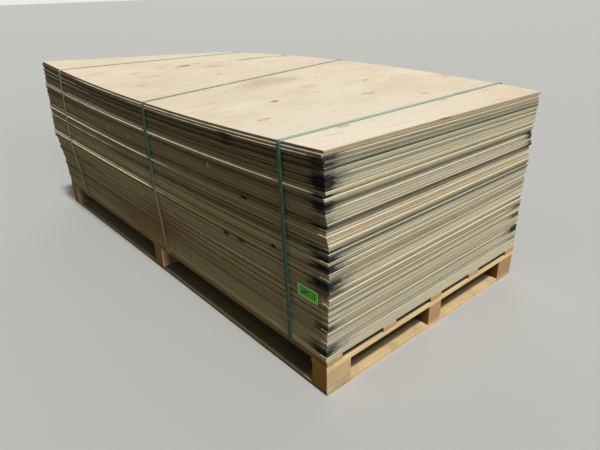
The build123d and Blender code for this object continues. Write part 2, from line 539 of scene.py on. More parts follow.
END_MARKS = mark_list(
    (MarkKind.RED_BROWN, (-80, 874, 60, 7), (292, 886, 14, 5)),
    (MarkKind.ORANGE, (-470, 472, 110, 6), (-290, 474, 90, 6), (-150, 472, 55, 5), (165, 290, 30, 14)),
    (MarkKind.RED_BROWN, (210, 215, 12, 4), (-440, 706, 14, 4)),
    (MarkKind.GREY_SMUDGE, (-300, 601, 26, 6)),
    (MarkKind.ORANGE, (250, 366, 210, 10)),
    (MarkKind.GREY_SMUDGE, (-110, 240, 10, 16)),
    (MarkKind.DARK_KNOT, (450, 376, 7, 5), (545, 366, 8, 5)),
)


@dataclass(frozen=True)
class SheetFinish(Finish):
    """What the sheets' edges and faces share: black stains at the load's two front corners."""

    front_x: float = 1.223
    near_y: float = -0.632
    far_y: float = 0.606
    near_reaches: Place = (0.092, 0.106)
    far_reaches: Place = (0.074, 0.070)
    rim: Colour = paint(88, 94, 96)
    stain: Colour = paint(15, 18, 23)

    def stained(self, graph: Graph, hue: Value, place: Value, long_side: Value) -> Value:
        """Lay the stains over a colour.

        Args:
            graph: The finish's graph.
            hue: The colour under them.
            place: Place on the object.
            long_side: 1 on the long sides, 0 on the short ones.

        Returns:
            The colour with the stains.
        """
        x, y, z = graph.parts(place)
        sheet = graph.carried("sheet")
        from_front = self.front_x - x
        lot = graph.lot(graph.compose(sheet, 2.5, 1.5))
        own_reach = lot.span(0.0, 1.0, 0.75, 1.2) * z.span(0.45, 0.7, 1.05, 0.74)
        for side, reaches, name in (
            (y - self.near_y, self.near_reaches, "stain_near"),
            (self.far_y - y, self.far_reaches, "stain_far"),
        ):
            mould = BlackStain.add(
                graph,
                Place=place,
                Distance=graph.most(from_front, side),
                Reach=graph.between(long_side, *reaches) * own_reach,
                Strength=graph.carried(name),
            )
            grey = mould["Rim"] * graph.between(long_side, 0.7, 0.25)
            hue = hue.coat(grey, self.rim)
            black = mould["Core"] * graph.between(long_side, 0.94, 1.0)
            hue = hue.coat(black, self.stain)
        return hue

    def run(self, graph: Graph, name: str, x: Value) -> Value:
        """How strongly a stretch of a sheet's near edge shows something, such as a painted highlight or a painted
        shadow line.

        Args:
            graph: The finish's graph.
            name: The attribute with the stretch's start, end and strength.
            x: Place along the load.

        Returns:
            The strength, which fades out at the stretch's ends.
        """
        start, stop, strength = graph.parts(graph.carried(name, True))
        grows = (x - start).span(-0.15, 0.1)
        ends = (stop - x).span(-0.15, 0.1)
        broken = graph.noise(graph.compose(x, start, stop), 14.0, 3.0).span(0.35, 0.55, 0.55, 1.0)
        return grows * ends * broken * strength


@dataclass(frozen=True)
class PlyEdgeFinish(SheetFinish):
    """The sawn edges of the sheets: plies, glue lines, painted shade, painted shadow lines and painted highlights, and
    black stains at the front.
    """

    name: str = "ply_edges"
    end_pale: Colour = paint(238, 230, 198)
    end_grey: Colour = paint(178, 179, 158)
    end_warm: Colour = paint(206, 176, 138)
    end_dark: Colour = paint(88, 92, 80)
    # The long sides' colours are darker and more olive than the ends': partly the grain, partly painted shade.
    side_pale: Colour = paint(230, 220, 170)
    side_grey: Colour = paint(167, 159, 122)
    side_warm: Colour = paint(176, 155, 110)
    side_dark: Colour = paint(98, 94, 66)
    lit: Colour = paint(255, 248, 222)
    glue: Colour = paint(96, 84, 66)
    shadow: Colour = paint(44, 40, 32)
    upper_side_shade: Colour = paint(206, 196, 200)
    rear_grey_shade: Colour = paint(112, 98, 86)
    sheen: float = 0.08

    def look(self, graph: Graph) -> dict[str, object]:
        """Plies toned sheet by sheet, then glue lines, painted shade, painted shadow lines and painted highlights,
        marks and stains.

        Args:
            graph: The finish's graph.

        Returns:
            What the shader is fed.
        """
        place = graph.place()
        x, y, z = graph.parts(place)
        names = ("ply", "long_side", "tone", "warmth", "sheet")
        ply, long_side, tone, warmth, sheet = (graph.carried(name) for name in names)

        along = graph.between(long_side, y, x)
        row = sheet * 3.71 + ply * 0.37
        strip = graph.compose(along, row, z)
        grain = WoodGrain.add(graph, Place=strip, Along=2.2, Across=1.0, Shift=0.0)
        fine = WoodGrain.add(graph, Place=strip, Along=9.0, Across=700.0, Shift=3.0)
        pores = graph.noise(graph.compose(along * 0.45, row, z), 1500.0, 2.0, 0.7)
        line = graph.lot(graph.compose(sheet, graph.math("ROUND", ply), 0.5))

        warm = warmth + grain["Patches"].span(0.3, 0.7, -0.25, 0.25)
        own_tone = graph.between(long_side, tone, tone * 0.5 + 0.24)
        spread = graph.between(long_side, 0.46, 0.42)
        bright = own_tone + grain["Streaks"].span(0.3, 0.7, -0.16, 0.16) + line.span(0.0, 1.0, -1.0, 1.0) * spread
        lift = bright.span(0.45, 1.0)
        end_hue = graph.blend(lift, graph.blend(warm, self.end_grey, self.end_warm), self.end_pale)
        side_hue = graph.blend(lift, graph.blend(warm, self.side_grey, self.side_warm), self.side_pale)
        hue = graph.blend(long_side, end_hue, side_hue)
        hue = hue.coat(bright.span(0.42, -0.05), graph.blend(long_side, self.end_dark, self.side_dark))

        crossing = abs(graph.math("PINGPONG", ply, 1.0) - long_side)
        shade = graph.between(
            crossing,
            fine["Streaks"].span(0.3, 0.75, 0.9, 1.14) * graph.between(long_side, 1.14, 1.0),
            pores.span(0.3, 0.7, 0.72, 1.0) * graph.between(long_side, 0.74, 0.94),
        )
        hue = graph.shaded(hue, shade)
        at_glue = abs(graph.math("FRACT", ply) - 0.5).span(0.2, 0.05)
        hue = hue.coat(at_glue * 0.55, self.glue)
        # Painted shade: the upper part of the long sides is darkened, and greyed towards the rear near the top.
        upper = z.span(0.5, 0.8, 0.0, 1.0) * long_side
        hue = graph.blend(upper, hue, self.upper_side_shade, "MULTIPLY")
        rear = x.span(0.3, -0.3) * upper * z.span(0.68, 0.74)
        hue = hue.coat(rear * 0.45, self.rear_grey_shade)
        # Painted shadow lines: dark stretches along the near edge, and a dark line at the foot of each sheet.
        shaded = self.run(graph, "shaded", x) * long_side
        hue = hue.coat(shaded * ply.span(2.6, 1.4), self.shadow)
        lot = graph.lot(graph.compose(sheet, 7.5, 0.5))
        underline = graph.between(long_side, graph.carried("underline"), lot.span(0.55, 0.9, 0.1, 0.95))
        faint = graph.noise(graph.compose(along * 1.4, sheet, 2.0), 2.0).span(0.35, 0.6, 0.45, 1.0)
        foot = ply.span(graph.between(long_side, 0.6, 1.2), 0.2) * underline * faint
        hue = hue.coat(foot, self.shadow)
        # Painted highlight along the upper plies where a proud sheet's edge catches the light.
        arris = graph.math("GREATER_THAN", ply, 3.4) * self.run(graph, "lit", x)
        hue = hue.coat(arris * long_side * 0.78, self.lit)

        hue = self.marked(graph, hue, graph.compose(x, z, 0.0), SIDE_MARKS, long_side * y.span(0.0, -0.2))
        on_end = (1.0 - long_side) * x.span(0.0, 0.2)
        hue = self.marked(graph, hue, graph.compose(y, z, 0.0), END_MARKS, on_end)

        hue = self.stained(graph, hue, place, long_side)

        bump = graph.bump(0.35, 0.0006, fine["Streaks"] * 0.6 + pores * 0.4)
        rough = grain["Streaks"].span(0.2, 0.8, 0.72, 0.9)
        return {"Base Color": hue, "Roughness": rough, "Normal": bump, "Specular IOR Level": self.sheen}

    @staticmethod
    def marked(graph: Graph, hue: Value, place: Value, marks: Sequence[Mark], share: Value) -> Value:
        """Lay marks over a side.

        Args:
            graph: The finish's graph.
            hue: The colour under them.
            place: Place along the side and up it.
            marks: The marks.
            share: Where the side is, from 0 to 1.

        Returns:
            The colour with the marks.
        """
        for mark in marks:
            halo, core, weight = mark.kind.value
            spot = mark.spot(graph, place, 0.0, Raggedness=0.5)
            seen = share * weight
            hue = hue.coat(spot["Halo"] * seen, halo)
            hue = hue.coat(spot["Core"] * seen, core)
        return hue


@dataclass(frozen=True)
class FaceVeneerFinish(SheetFinish):
    """The faces of the sheets below the top one, seen only as slivers."""

    name: str = "face_veneer"
    pale: Colour = paint(254, 244, 218)
    brown: Colour = paint(234, 216, 180)
    painted_shade: Colour = paint(118, 100, 70)
    shade_end_x: float = 1.185

    def look(self, graph: Graph) -> dict[str, object]:
        """Bare and pale at the front and, as a painted highlight, along lit runs; darkened by painted shade further
        in.

        Args:
            graph: The finish's graph.

        Returns:
            What the shader is fed.
        """
        place = graph.place()
        x, y, _ = graph.parts(place)
        turned = graph.compose(y, x, graph.carried("sheet") * 0.3)
        grain = WoodGrain.add(graph, Place=turned, Along=2.0, Across=60.0)
        hue = graph.blend(grain["Streaks"].span(0.35, 0.75), self.pale, self.brown)
        at_front = x.span(self.shade_end_x, self.shade_end_x + 0.01)
        # Painted shade darkens the faces further in; the bare front and the lit runs, as a painted highlight, stay
        # pale.
        pale_veneer = graph.most(at_front, self.run(graph, "lit", x).span(0.0, 0.7))
        hue = graph.blend(pale_veneer, self.painted_shade, hue)
        hue = self.stained(graph, hue, place, x.span(self.shade_end_x + 0.01, self.shade_end_x))
        bump = graph.bump(0.15, 0.0004, grain["Fibres"])
        rough = grain["Fibres"].span(0.2, 0.8, 0.55, 0.72)
        return {"Base Color": hue, "Roughness": rough, "Normal": bump}


TOP_MARKS = mark_list(
    (MarkKind.KNOT, (565, 264, 16, 22)),
    (MarkKind.DARK_KNOT, (568, -275, 17, 22)),
    (MarkKind.KNOT, (773, -488, 17, 30), (1059, -384, 15, 27)),
    (MarkKind.BROWN_SMUDGE, (1056, 160, 22, 34)),
    (MarkKind.KNOT, (760, 64, 18, 34)),
    (MarkKind.BROWN_SMUDGE, (779, 576, 36, 34)),
    (MarkKind.DARK_KNOT, (328, 628, 44, 18)),
    (MarkKind.GREY_SMUDGE, (933, 211, 24, 40)),
    (MarkKind.KNOT, (248, -291, 9, 14)),
    (MarkKind.DARK_KNOT, (261, 240, 5, 7), (315, 179, 5, 7), (208, 131, 5, 7), (-176, -56, 10, 15)),
    (MarkKind.KNOT, (568, -48, 10, 16)),
    (MarkKind.GREY_SMUDGE, (240, 32, 110, 130), (168, -48, 90, 120), (232, -128, 100, 140), (456, 8, 40, 60)),
    (MarkKind.BROWN_SMUDGE, (-424, 72, 60, 70)),
    (MarkKind.DARK_KNOT, (-576, -32, 26, 40)),
    (MarkKind.BROWN_SMUDGE, (-608, -176, 40, 50)),
    (
        MarkKind.RED_SMUDGE, (-488, 368, 50, 100), (-392, 576, 44, 50), (-528, 160, 40, 60), (-696, -496, 44, 60),
        (-552, -344, 40, 60), (-408, -336, 60, 90), (-216, -464, 40, 60),
    ),
    (MarkKind.BROWN_SMUDGE, (-1210, -349, 30, 70)),
    (
        MarkKind.CRACK, (-400, 566, 18, 60), (-438, 500, 10, 50), (-466, 440, 16, 60), (-478, 372, 18, 64),
        (-512, 318, 12, 50),
    ),
    (MarkKind.KNOT, (-600, 34, 14, 60)),
    (MarkKind.DARK_KNOT, (-560, -56, 14, 50)),
    (MarkKind.KNOT, (-676, -112, 10, 60)),
)


@dataclass(frozen=True)
class TopVeneerFinish(Finish):
    """The upper face of the top sheet: cream veneer, grain across the sheet, a seam, knots and dust."""

    name: str = "top_veneer"
    height: float = 0.88
    pale: Colour = paint(244, 228, 200)
    tan: Colour = paint(226, 207, 177)
    wisp: Colour = paint(184, 152, 120)
    fleck: Colour = paint(150, 116, 86)
    pale_veneer: Colour = paint(252, 240, 216)
    seam: Colour = paint(180, 148, 108)
    dust: Colour = paint(226, 220, 208)
    seam_x: float = 0.568
    seam_width: float = 0.0011
    knot_grain: Triple = (150.0, 34.0, 1.0)

    def look(self, graph: Graph) -> dict[str, object]:
        """Clouded veneer with its seam and marks, and dust over it.

        Args:
            graph: The finish's graph.

        Returns:
            What the shader is fed.
        """
        place = graph.place()
        x, y, _ = graph.parts(place)
        turned = graph.compose(y, x, 0.0)
        fine = WoodGrain.add(graph, Place=turned, Along=10.0, Across=110.0, Shift=5.0)
        cloud = graph.noise(graph.compose(x * 1.6, y, 3.0), 3.2, 4.0, 0.6)
        mottle = graph.noise(graph.compose(x * 2.0, y, 7.0), 26.0, 4.0, 0.65)
        streaks = graph.noise(graph.compose(y * 5.0, x * 38.0, 1.0), 1.0, 3.0, 0.6)
        flecks = graph.noise(graph.compose(y * 38.0, x * 210.0, 4.0), 1.0, 1.0, 0.5)

        hue = graph.blend(cloud.span(0.35, 0.72), self.pale, self.tan)
        hue = hue.coat(mottle.span(0.38, 0.68, 0.0, 0.75), self.tan)
        pale_patch = abs(x - self.seam_x).span(0.22, 0.03) * cloud.span(0.55, 0.35)
        hue = hue.coat(pale_patch * 0.6, self.pale_veneer)
        paler = x.span(0.6, 1.1) * y.span(0.35, -0.25, 0.0, 0.7)
        hue = hue.coat(paler, self.pale_veneer)
        hue = hue.coat(streaks.span(0.56, 0.76, 0.0, 0.4), self.wisp)
        hue = hue.coat(flecks.span(0.68, 0.78, 0.0, 0.5), self.fleck)
        hue = graph.shaded(hue, fine["Streaks"].span(0.25, 0.75, 0.92, 1.05))

        hue = hue.coat(self.seam_mask(graph, x, y), self.seam)
        core_height = 0.0
        for mark in TOP_MARKS:
            halo, core, weight = mark.kind.value
            knot = mark.spot(graph, place, self.height, Raggedness=0.9, Grain=self.knot_grain)
            hue = hue.coat(knot["Halo"] * mottle.span(0.62, 0.4, 0.4, 1.0) * weight, halo)
            if mark.kind in (MarkKind.KNOT, MarkKind.DARK_KNOT, MarkKind.CRACK):
                line = knot["Outline"] * mottle.span(0.62, 0.42, 0.55, 1.0)
                hue = hue.coat(line * (weight * 0.85), core)
                core_height = core_height + knot["Core"]
            if mark.kind in (MarkKind.DARK_KNOT, MarkKind.CRACK):
                hue = hue.coat(knot["Core"] * (weight * 0.7), core)
        dust = Dust.add(graph, Place=place, Facing=(0.0, 0.0, 1.0), Amount=0.16)
        hue = hue.coat(dust["Mask"], self.dust)

        bump = graph.bump(0.25, 0.0005, fine["Streaks"] - core_height * 0.8)
        rough = fine["Streaks"].span(0.2, 0.8, 0.58, 0.74)
        return {"Base Color": hue, "Roughness": rough, "Normal": bump}

    def seam_mask(self, graph: Graph, x: Value, y: Value) -> Value:
        """Where two veneers meet across the sheet, fainter towards the far edge.

        Args:
            graph: The finish's graph.
            x: Place along the load.
            y: Place across it.

        Returns:
            The seam's mask.
        """
        wander = (graph.noise(graph.compose(0.0, y, 0.0), 3.0) - 0.5) * 0.012
        line = abs(x - wander - self.seam_x).span(self.seam_width * 2.2, self.seam_width * 0.6)
        return line * y.span(0.15, -0.1, 0.22, 0.7)


@dataclass(frozen=True)
class PalletWoodFinish(Finish):
    """Sawn softwood: growth rings that follow each board's own log, knots, dirt and nail rust."""

    name: str = "pallet_wood"
    early: Colour = paint(223, 200, 150)
    late: Colour = paint(190, 146, 94)
    red_wood: Colour = paint(190, 138, 92)
    painted_side_shade: Colour = paint(176, 152, 88)
    painted_foot_shade: Colour = paint(74, 68, 48)
    hollow_shade: Colour = paint(46, 40, 25)
    shaded_tread: Colour = paint(54, 54, 31)
    end_grain: Colour = paint(202, 168, 118)
    grey: Colour = paint(178, 170, 146)
    dirt: Colour = paint(92, 78, 52)
    knot: Colour = paint(112, 72, 42)
    slot_shade: Colour = paint(52, 42, 28)
    nail_rust: Colour = paint(92, 60, 42)
    ring_pitch: float = 0.0048
    half_length: float = 1.220
    half_width: float = 0.610

    def look(self, graph: Graph) -> dict[str, object]:
        """Rings and fibres first, then knots, weather, dirt and painted shade.

        Args:
            graph: The finish's graph.

        Returns:
            What the shader is fed.
        """
        place = graph.place()
        heart = graph.carried("log_place", True)
        axis = graph.carried("grain_axis", True)
        tone = graph.carried("tone")
        _, across, up = graph.parts(heart)

        slow = graph.noise(graph.vector("MULTIPLY", heart, (1.6, 9.0, 9.0)), 1.0, 2.0)
        radius = graph.vector("LENGTH", graph.compose(0.0, across, up)) + (slow - 0.5) * 0.02
        late = graph.math("POWER", graph.math("FRACT", radius / self.ring_pitch), 2.6)
        fine = WoodGrain.add(graph, Place=heart, Along=5.0, Across=420.0)
        hue = graph.blend(late * 0.95, self.early, self.late)
        hue = hue.coat(graph.carried("ruddy") * 0.85, self.red_wood)
        level = fine["Streaks"].span(0.25, 0.75, 0.86, 1.12) * tone.span(0.0, 2.0, 0.84, 1.36)
        hue = graph.shaded(hue, level)

        normal = graph.normal()
        end_face = abs(graph.vector("DOT_PRODUCT", normal, axis)).span(0.75, 0.95)
        hue = hue.coat(end_face * 0.45, self.end_grain)

        values = {"Vector": graph.vector("MULTIPLY", heart, (2.6, 12.0, 12.0)), "Scale": 1.0, "Randomness": 1.0}
        spots = graph.out("ShaderNodeTexVoronoi", values, "Distance", feature="F1")
        knots = spots.span(0.105, 0.06, 0.0, 1.0, True) * (1.0 - end_face)
        hue = hue.coat(knots * 0.75, self.knot)
        pits = graph.noise(place, 95.0, 2.0, 0.6).span(0.68, 0.74) * end_face
        hue = hue.coat(pits * 0.6, self.nail_rust)

        weather = graph.noise(place, 3.5, 4.0, 0.6).span(0.45, 0.75, 0.0, 0.4)
        hue = hue.coat(weather, self.grey)
        x, y, z = graph.parts(place)
        grime = graph.noise(place, 14.0, 4.0, 0.65).span(0.5, 0.78) * z.span(0.0, 0.05, 0.5, 0.22)
        hue = hue.coat(grime, self.dirt)
        from_end = self.half_length - abs(x)
        depth = graph.least(from_end, self.half_width - abs(y))
        upward = graph.parts(normal)[2].span(0.6, 0.9)
        # Painted shade inside the pallet, with a painted shadow edge across the tops of the boards.
        inside = graph.between(upward, depth.span(0.002, 0.045, 0.0, 0.85, True), depth.span(0.044, 0.062, 0.0, 0.88))
        hue = hue.coat(inside, self.hollow_shade)
        # Painted shade on the tops of the base boards under the load, away from their ends.
        shaded_tread = upward * z.span(0.035, 0.025) * from_end.span(0.1, 0.13)
        hue = hue.coat(shaded_tread * 0.85, self.shaded_tread)
        slot = from_end.span(0.002, 0.01) * upward * z.span(0.06, 0.08, 0.0, 0.9)
        hue = hue.coat(slot, self.slot_shade)
        # Painted shade: faces turned to the long sides are darkened and tinted, darkest at their feet.
        to_side = abs(graph.parts(normal)[1]).span(0.6, 0.9)
        low = z.span(0.035, 0.0, 1.0, 0.45)
        hue = graph.blend(to_side, hue, graph.blend(low, self.painted_foot_shade, self.painted_side_shade), "MULTIPLY")

        bump = graph.bump(0.4, 0.001, late * 0.5 + fine["Fibres"] * 0.6)
        rough = fine["Streaks"].span(0.2, 0.8, 0.68, 0.88)
        return {"Base Color": hue, "Roughness": rough, "Normal": bump}


@dataclass(frozen=True)
class StrapFinish(Finish):
    """Glossy green polyester band with its embossed diamonds, with dust and a painted sheen on top."""

    name: str = "green_band"
    green: Colour = paint(68, 114, 94)
    deep: Colour = paint(46, 82, 68)
    # Pale green for the dust and for the painted sheen on top.
    dust: Colour = paint(164, 204, 178)
    scuff: Colour = paint(180, 176, 154)
    diamond: float = 0.0024

    def look(self, graph: Graph) -> dict[str, object]:
        """Embossed band with dust and a painted sheen above, and scuffed on its near side.

        Args:
            graph: The finish's graph.

        Returns:
            What the shader is fed.
        """
        place = graph.place()
        run, over, dusty = (graph.carried(name) for name in ("run", "over", "dusty"))
        first = graph.math("PINGPONG", run + over, self.diamond)
        second = graph.math("PINGPONG", run - over, self.diamond)
        emboss = graph.least(first, second) * (1 / self.diamond)
        hue = graph.blend(graph.noise(place, 40.0, 3.0).span(0.35, 0.7), self.green, self.deep)
        hue = hue.coat(emboss.span(0.35, 0.0, 0.0, 0.3), self.deep)
        facing = graph.normal()
        dust = Dust.add(graph, Place=place, Facing=facing, Amount=dusty)
        # Painted sheen: faces turned up get a pale green coat that stands in for glossy reflection, merged with the
        # dust.
        up = graph.parts(facing)[2].span(0.3, 0.95) * dusty
        hue = hue.coat(graph.most(up, dust["Mask"]), self.dust)
        height = graph.parts(place)[2]
        scuffed = graph.between(height.span(0.62, 0.42), graph.carried("scuffed_top"), graph.carried("scuffed_foot"))
        scuffed = scuffed * graph.noise(place, 60.0, 2.0).span(0.3, 0.6, 0.7, 1.0)
        hue = hue.coat(scuffed, self.scuff)
        bump = graph.bump(0.25, 0.0002, emboss)
        rough = dust["Mask"].span(0.0, 1.0, 0.24, 0.7)
        return {"Base Color": hue, "Roughness": rough, "Normal": bump, "Specular IOR Level": 0.6}


@dataclass(frozen=True)
class StickerFinish(Finish):
    """A fluorescent green sticker with a white border and plain tally strokes."""

    name: str = "green_sticker"
    green: Colour = paint(60, 184, 14)
    white: Colour = paint(206, 222, 176)
    ink: Colour = paint(22, 28, 22)
    paper: Colour = paint(224, 226, 214)
    proportion: float = 2.13
    strokes: tuple[float, ...] = (0.20, 0.31, 0.42, 0.53, 0.70, 0.82)
    bar_start: float = 0.14
    bar_end: float = 0.62
    glow: float = 0.14

    def look(self, graph: Graph) -> dict[str, object]:
        """Panel and border, then strokes with one bar across the first four, then wear, and a painted glow.

        Args:
            graph: The finish's graph.

        Returns:
            What the shader is fed.
        """
        place = graph.place()
        across, up, _ = graph.parts(graph.carried("panel", True))
        side, rise = (0.5 - abs(way - 0.5) for way in (across, up))
        border = graph.least(side * self.proportion, rise).span(0.062, 0.050)
        hue = graph.blend(border, self.green, self.white)

        slant = across + up * -0.05
        width = graph.noise(graph.compose(across, up, 0.0), 16.0, 3.0).span(0.3, 0.7, 0.018, 0.032)
        tall = up.span(0.22, 0.27) * up.span(0.8, 0.75)
        tallies = [graph.math("LESS_THAN", abs(slant - stroke), width) * tall for stroke in self.strokes]
        bar_rise = across.span(self.bar_start, self.bar_end, 0.26, 0.76)
        bar_run = graph.math("GREATER_THAN", across, self.bar_start) * graph.math("LESS_THAN", across, self.bar_end)
        bar = graph.math("LESS_THAN", abs(up - bar_rise), width * 1.9)
        hue = hue.coat(graph.most(*tallies, bar * bar_run) * 0.95, self.ink)
        wear = graph.noise(place, 160.0, 4.0, 0.65).span(0.6, 0.72) * 0.5
        hue = hue.coat(wear, self.paper)
        return {
            "Base Color": hue,
            "Roughness": wear.span(0.0, 0.5, 0.42, 0.7),
            "Normal": graph.bump(0.2, 0.0003, graph.noise(place, 260.0, 2.0)),
            # Painted glow: the sticker gives off a little light of its own colour.
            "Emission Color": hue,
            "Emission Strength": self.glow,
        }


@dataclass(frozen=True)
class NailFinish(Finish):
    """Dull steel nail heads with a little rust."""

    name: str = "nail_steel"
    steel: Colour = paint(120, 118, 114)
    rust: Colour = paint(112, 66, 38)

    def look(self, graph: Graph) -> dict[str, object]:
        """Steel that rusts in patches.

        Args:
            graph: The finish's graph.

        Returns:
            What the shader is fed.
        """
        rusty = graph.noise(graph.place(), 380.0, 3.0, 0.6).span(0.45, 0.6)
        hue = graph.blend(rusty, self.steel, self.rust)
        metal, rough = rusty.span(0.0, 1.0, 0.9, 0.1), rusty.span(0.0, 1.0, 0.4, 0.85)
        return {"Base Color": hue, "Metallic": metal, "Roughness": rough}


@dataclass(frozen=True)
class FloorFinish(Finish):
    """A plain pale floor. It looks pale to the camera and sends less light back to the object."""

    name: str = "studio_floor"
    seen: Colour = paint(196, 196, 192)
    sent: Colour = paint(116, 112, 98)

    def look(self, graph: Graph) -> dict[str, object]:
        """One colour for the camera and one for everything else."""
        camera = graph.out("ShaderNodeLightPath", output="Is Camera Ray")
        return {"Base Color": graph.blend(camera, self.sent, self.seen), "Roughness": 0.9}


@cache
def material_of(finish: Finish) -> bpy.types.Material:
    """The one material of a finish, built on its first use."""
    return finish.make()


# -------- meshes


def placed(thing: bpy.types.Object) -> bpy.types.Object:
    """Put an object in the scene."""
    bpy.context.scene.collection.objects.link(thing)
    return thing


def set_attribute(mesh: bpy.types.Mesh, name: str, values: object, domain: str = "POINT") -> None:
    """Give a mesh one number or vector for each point or face.

    Args:
        mesh: The mesh.
        name: The attribute's name.
        values: A list with a number or vector for each element, or one for all of them.
        domain: What the elements are.
    """
    each = values if isinstance(values, list) else [values]
    vector = hasattr(each[0], "__len__")
    layer = mesh.attributes.new(name, "FLOAT_VECTOR" if vector else "FLOAT", domain)
    each = each if each is values else each * len(layer.data)
    flat = [part for value in each for part in value] if vector else each
    layer.data.foreach_set("vector" if vector else "value", flat)


def new_object(name: str, points: list, edges: list, faces: list, **carried: object) -> bpy.types.Object:
    """Make an object at the origin.

    Args:
        name: The name of the object and its mesh.
        points: Places of its points.
        edges: Pairs of points.
        faces: The points round each face.
        carried: What its points carry, by attribute name.

    Returns:
        The object.
    """
    mesh = bpy.data.meshes.new(name)
    mesh.from_pydata(points, edges, faces)
    for key, values in carried.items():
        set_attribute(mesh, key, values)
    return placed(bpy.data.objects.new(name, mesh))


def plain_mesh(source: bpy.types.Object) -> bpy.types.Mesh:
    """The mesh that an object's modifiers make, which then come off.

    Args:
        source: The object.

    Returns:
        The mesh.
    """
    graph = bpy.context.evaluated_depsgraph_get()
    shown = source.evaluated_get(graph)
    mesh = bpy.data.meshes.new_from_object(shown, preserve_all_data_layers=True, depsgraph=graph)
    source.modifiers.clear()
    return mesh


def discard(*helpers: bpy.types.Object) -> None:
    """Remove helper objects with their meshes.

    Args:
        helpers: The objects.
    """
    for helper in helpers:
        mesh = helper.data
        bpy.data.objects.remove(helper)
        bpy.data.meshes.remove(mesh)


def grown(name: str, source: bpy.types.Object, tree: bpy.types.NodeTree, **inputs: object) -> bpy.types.Object:
    """Run a Geometry Nodes tree on an object and keep what comes out as a plain mesh.

    Args:
        name: The finished piece's name.
        source: The object that carries the tree's points or path, used up here.
        tree: The tree.
        inputs: Values for the tree's named inputs, with underscores for blanks.

    Returns:
        The finished object.
    """
    modifier = source.modifiers.new("build", "NODES")
    modifier.node_group = tree
    wanted = {item.name: item.identifier for item in tree.interface.items_tree if item.in_out == "INPUT"}
    for key, value in inputs.items():
        modifier[wanted[key.replace("_", " ")]] = value
    mesh = plain_mesh(source)
    discard(source)
    mesh.name = name
    return placed(bpy.data.objects.new(name, mesh))


def geometry_graph(name: str, **inputs: object) -> tuple[Graph, dict[str, Value]]:
    """Start a Geometry Nodes tree with named inputs.

    Args:
        name: The tree's name.
        inputs: Default or kind of each input besides the geometry, with underscores for blanks in its name.

    Returns:
        Its graph, and its inputs by name.
    """
    graph = Graph(bpy.data.node_groups.new(name, "GeometryNodeTree"))
    named = {key.replace("_", " "): value for key, value in inputs.items()}
    return graph, graph.given({"Geometry": GEOMETRY, **named})


def finish_tree(graph: Graph, geometry: Value, *coats: tuple[object, Value]) -> bpy.types.NodeTree:
    """End a Geometry Nodes tree with its materials.

    Args:
        graph: The tree's graph.
        geometry: What the tree has made.
        coats: Where each material goes, and the material.

    Returns:
        The tree.
    """
    for where, material in coats:
        values = {"Geometry": geometry, "Selection": where, "Material": material}
        geometry = graph.out("GeometryNodeSetMaterial", values)
    graph.tree.interface.new_socket("Geometry", in_out="OUTPUT", socket_type=GEOMETRY)
    graph.node("NodeGroupOutput", {0: geometry})
    return graph.tree


# -------- load


def table(values: dict) -> dict:
    """A table as a size field, with a copy of its own for each object."""
    return field(default_factory=lambda: dict(values))


def by_sheet(values: dict[tuple[int, ...], object]) -> dict[int, object]:
    """A table of single sheets as a size field, from one of groups of sheets."""
    return table({sheet: value for sheets, value in values.items() for sheet in sheets})


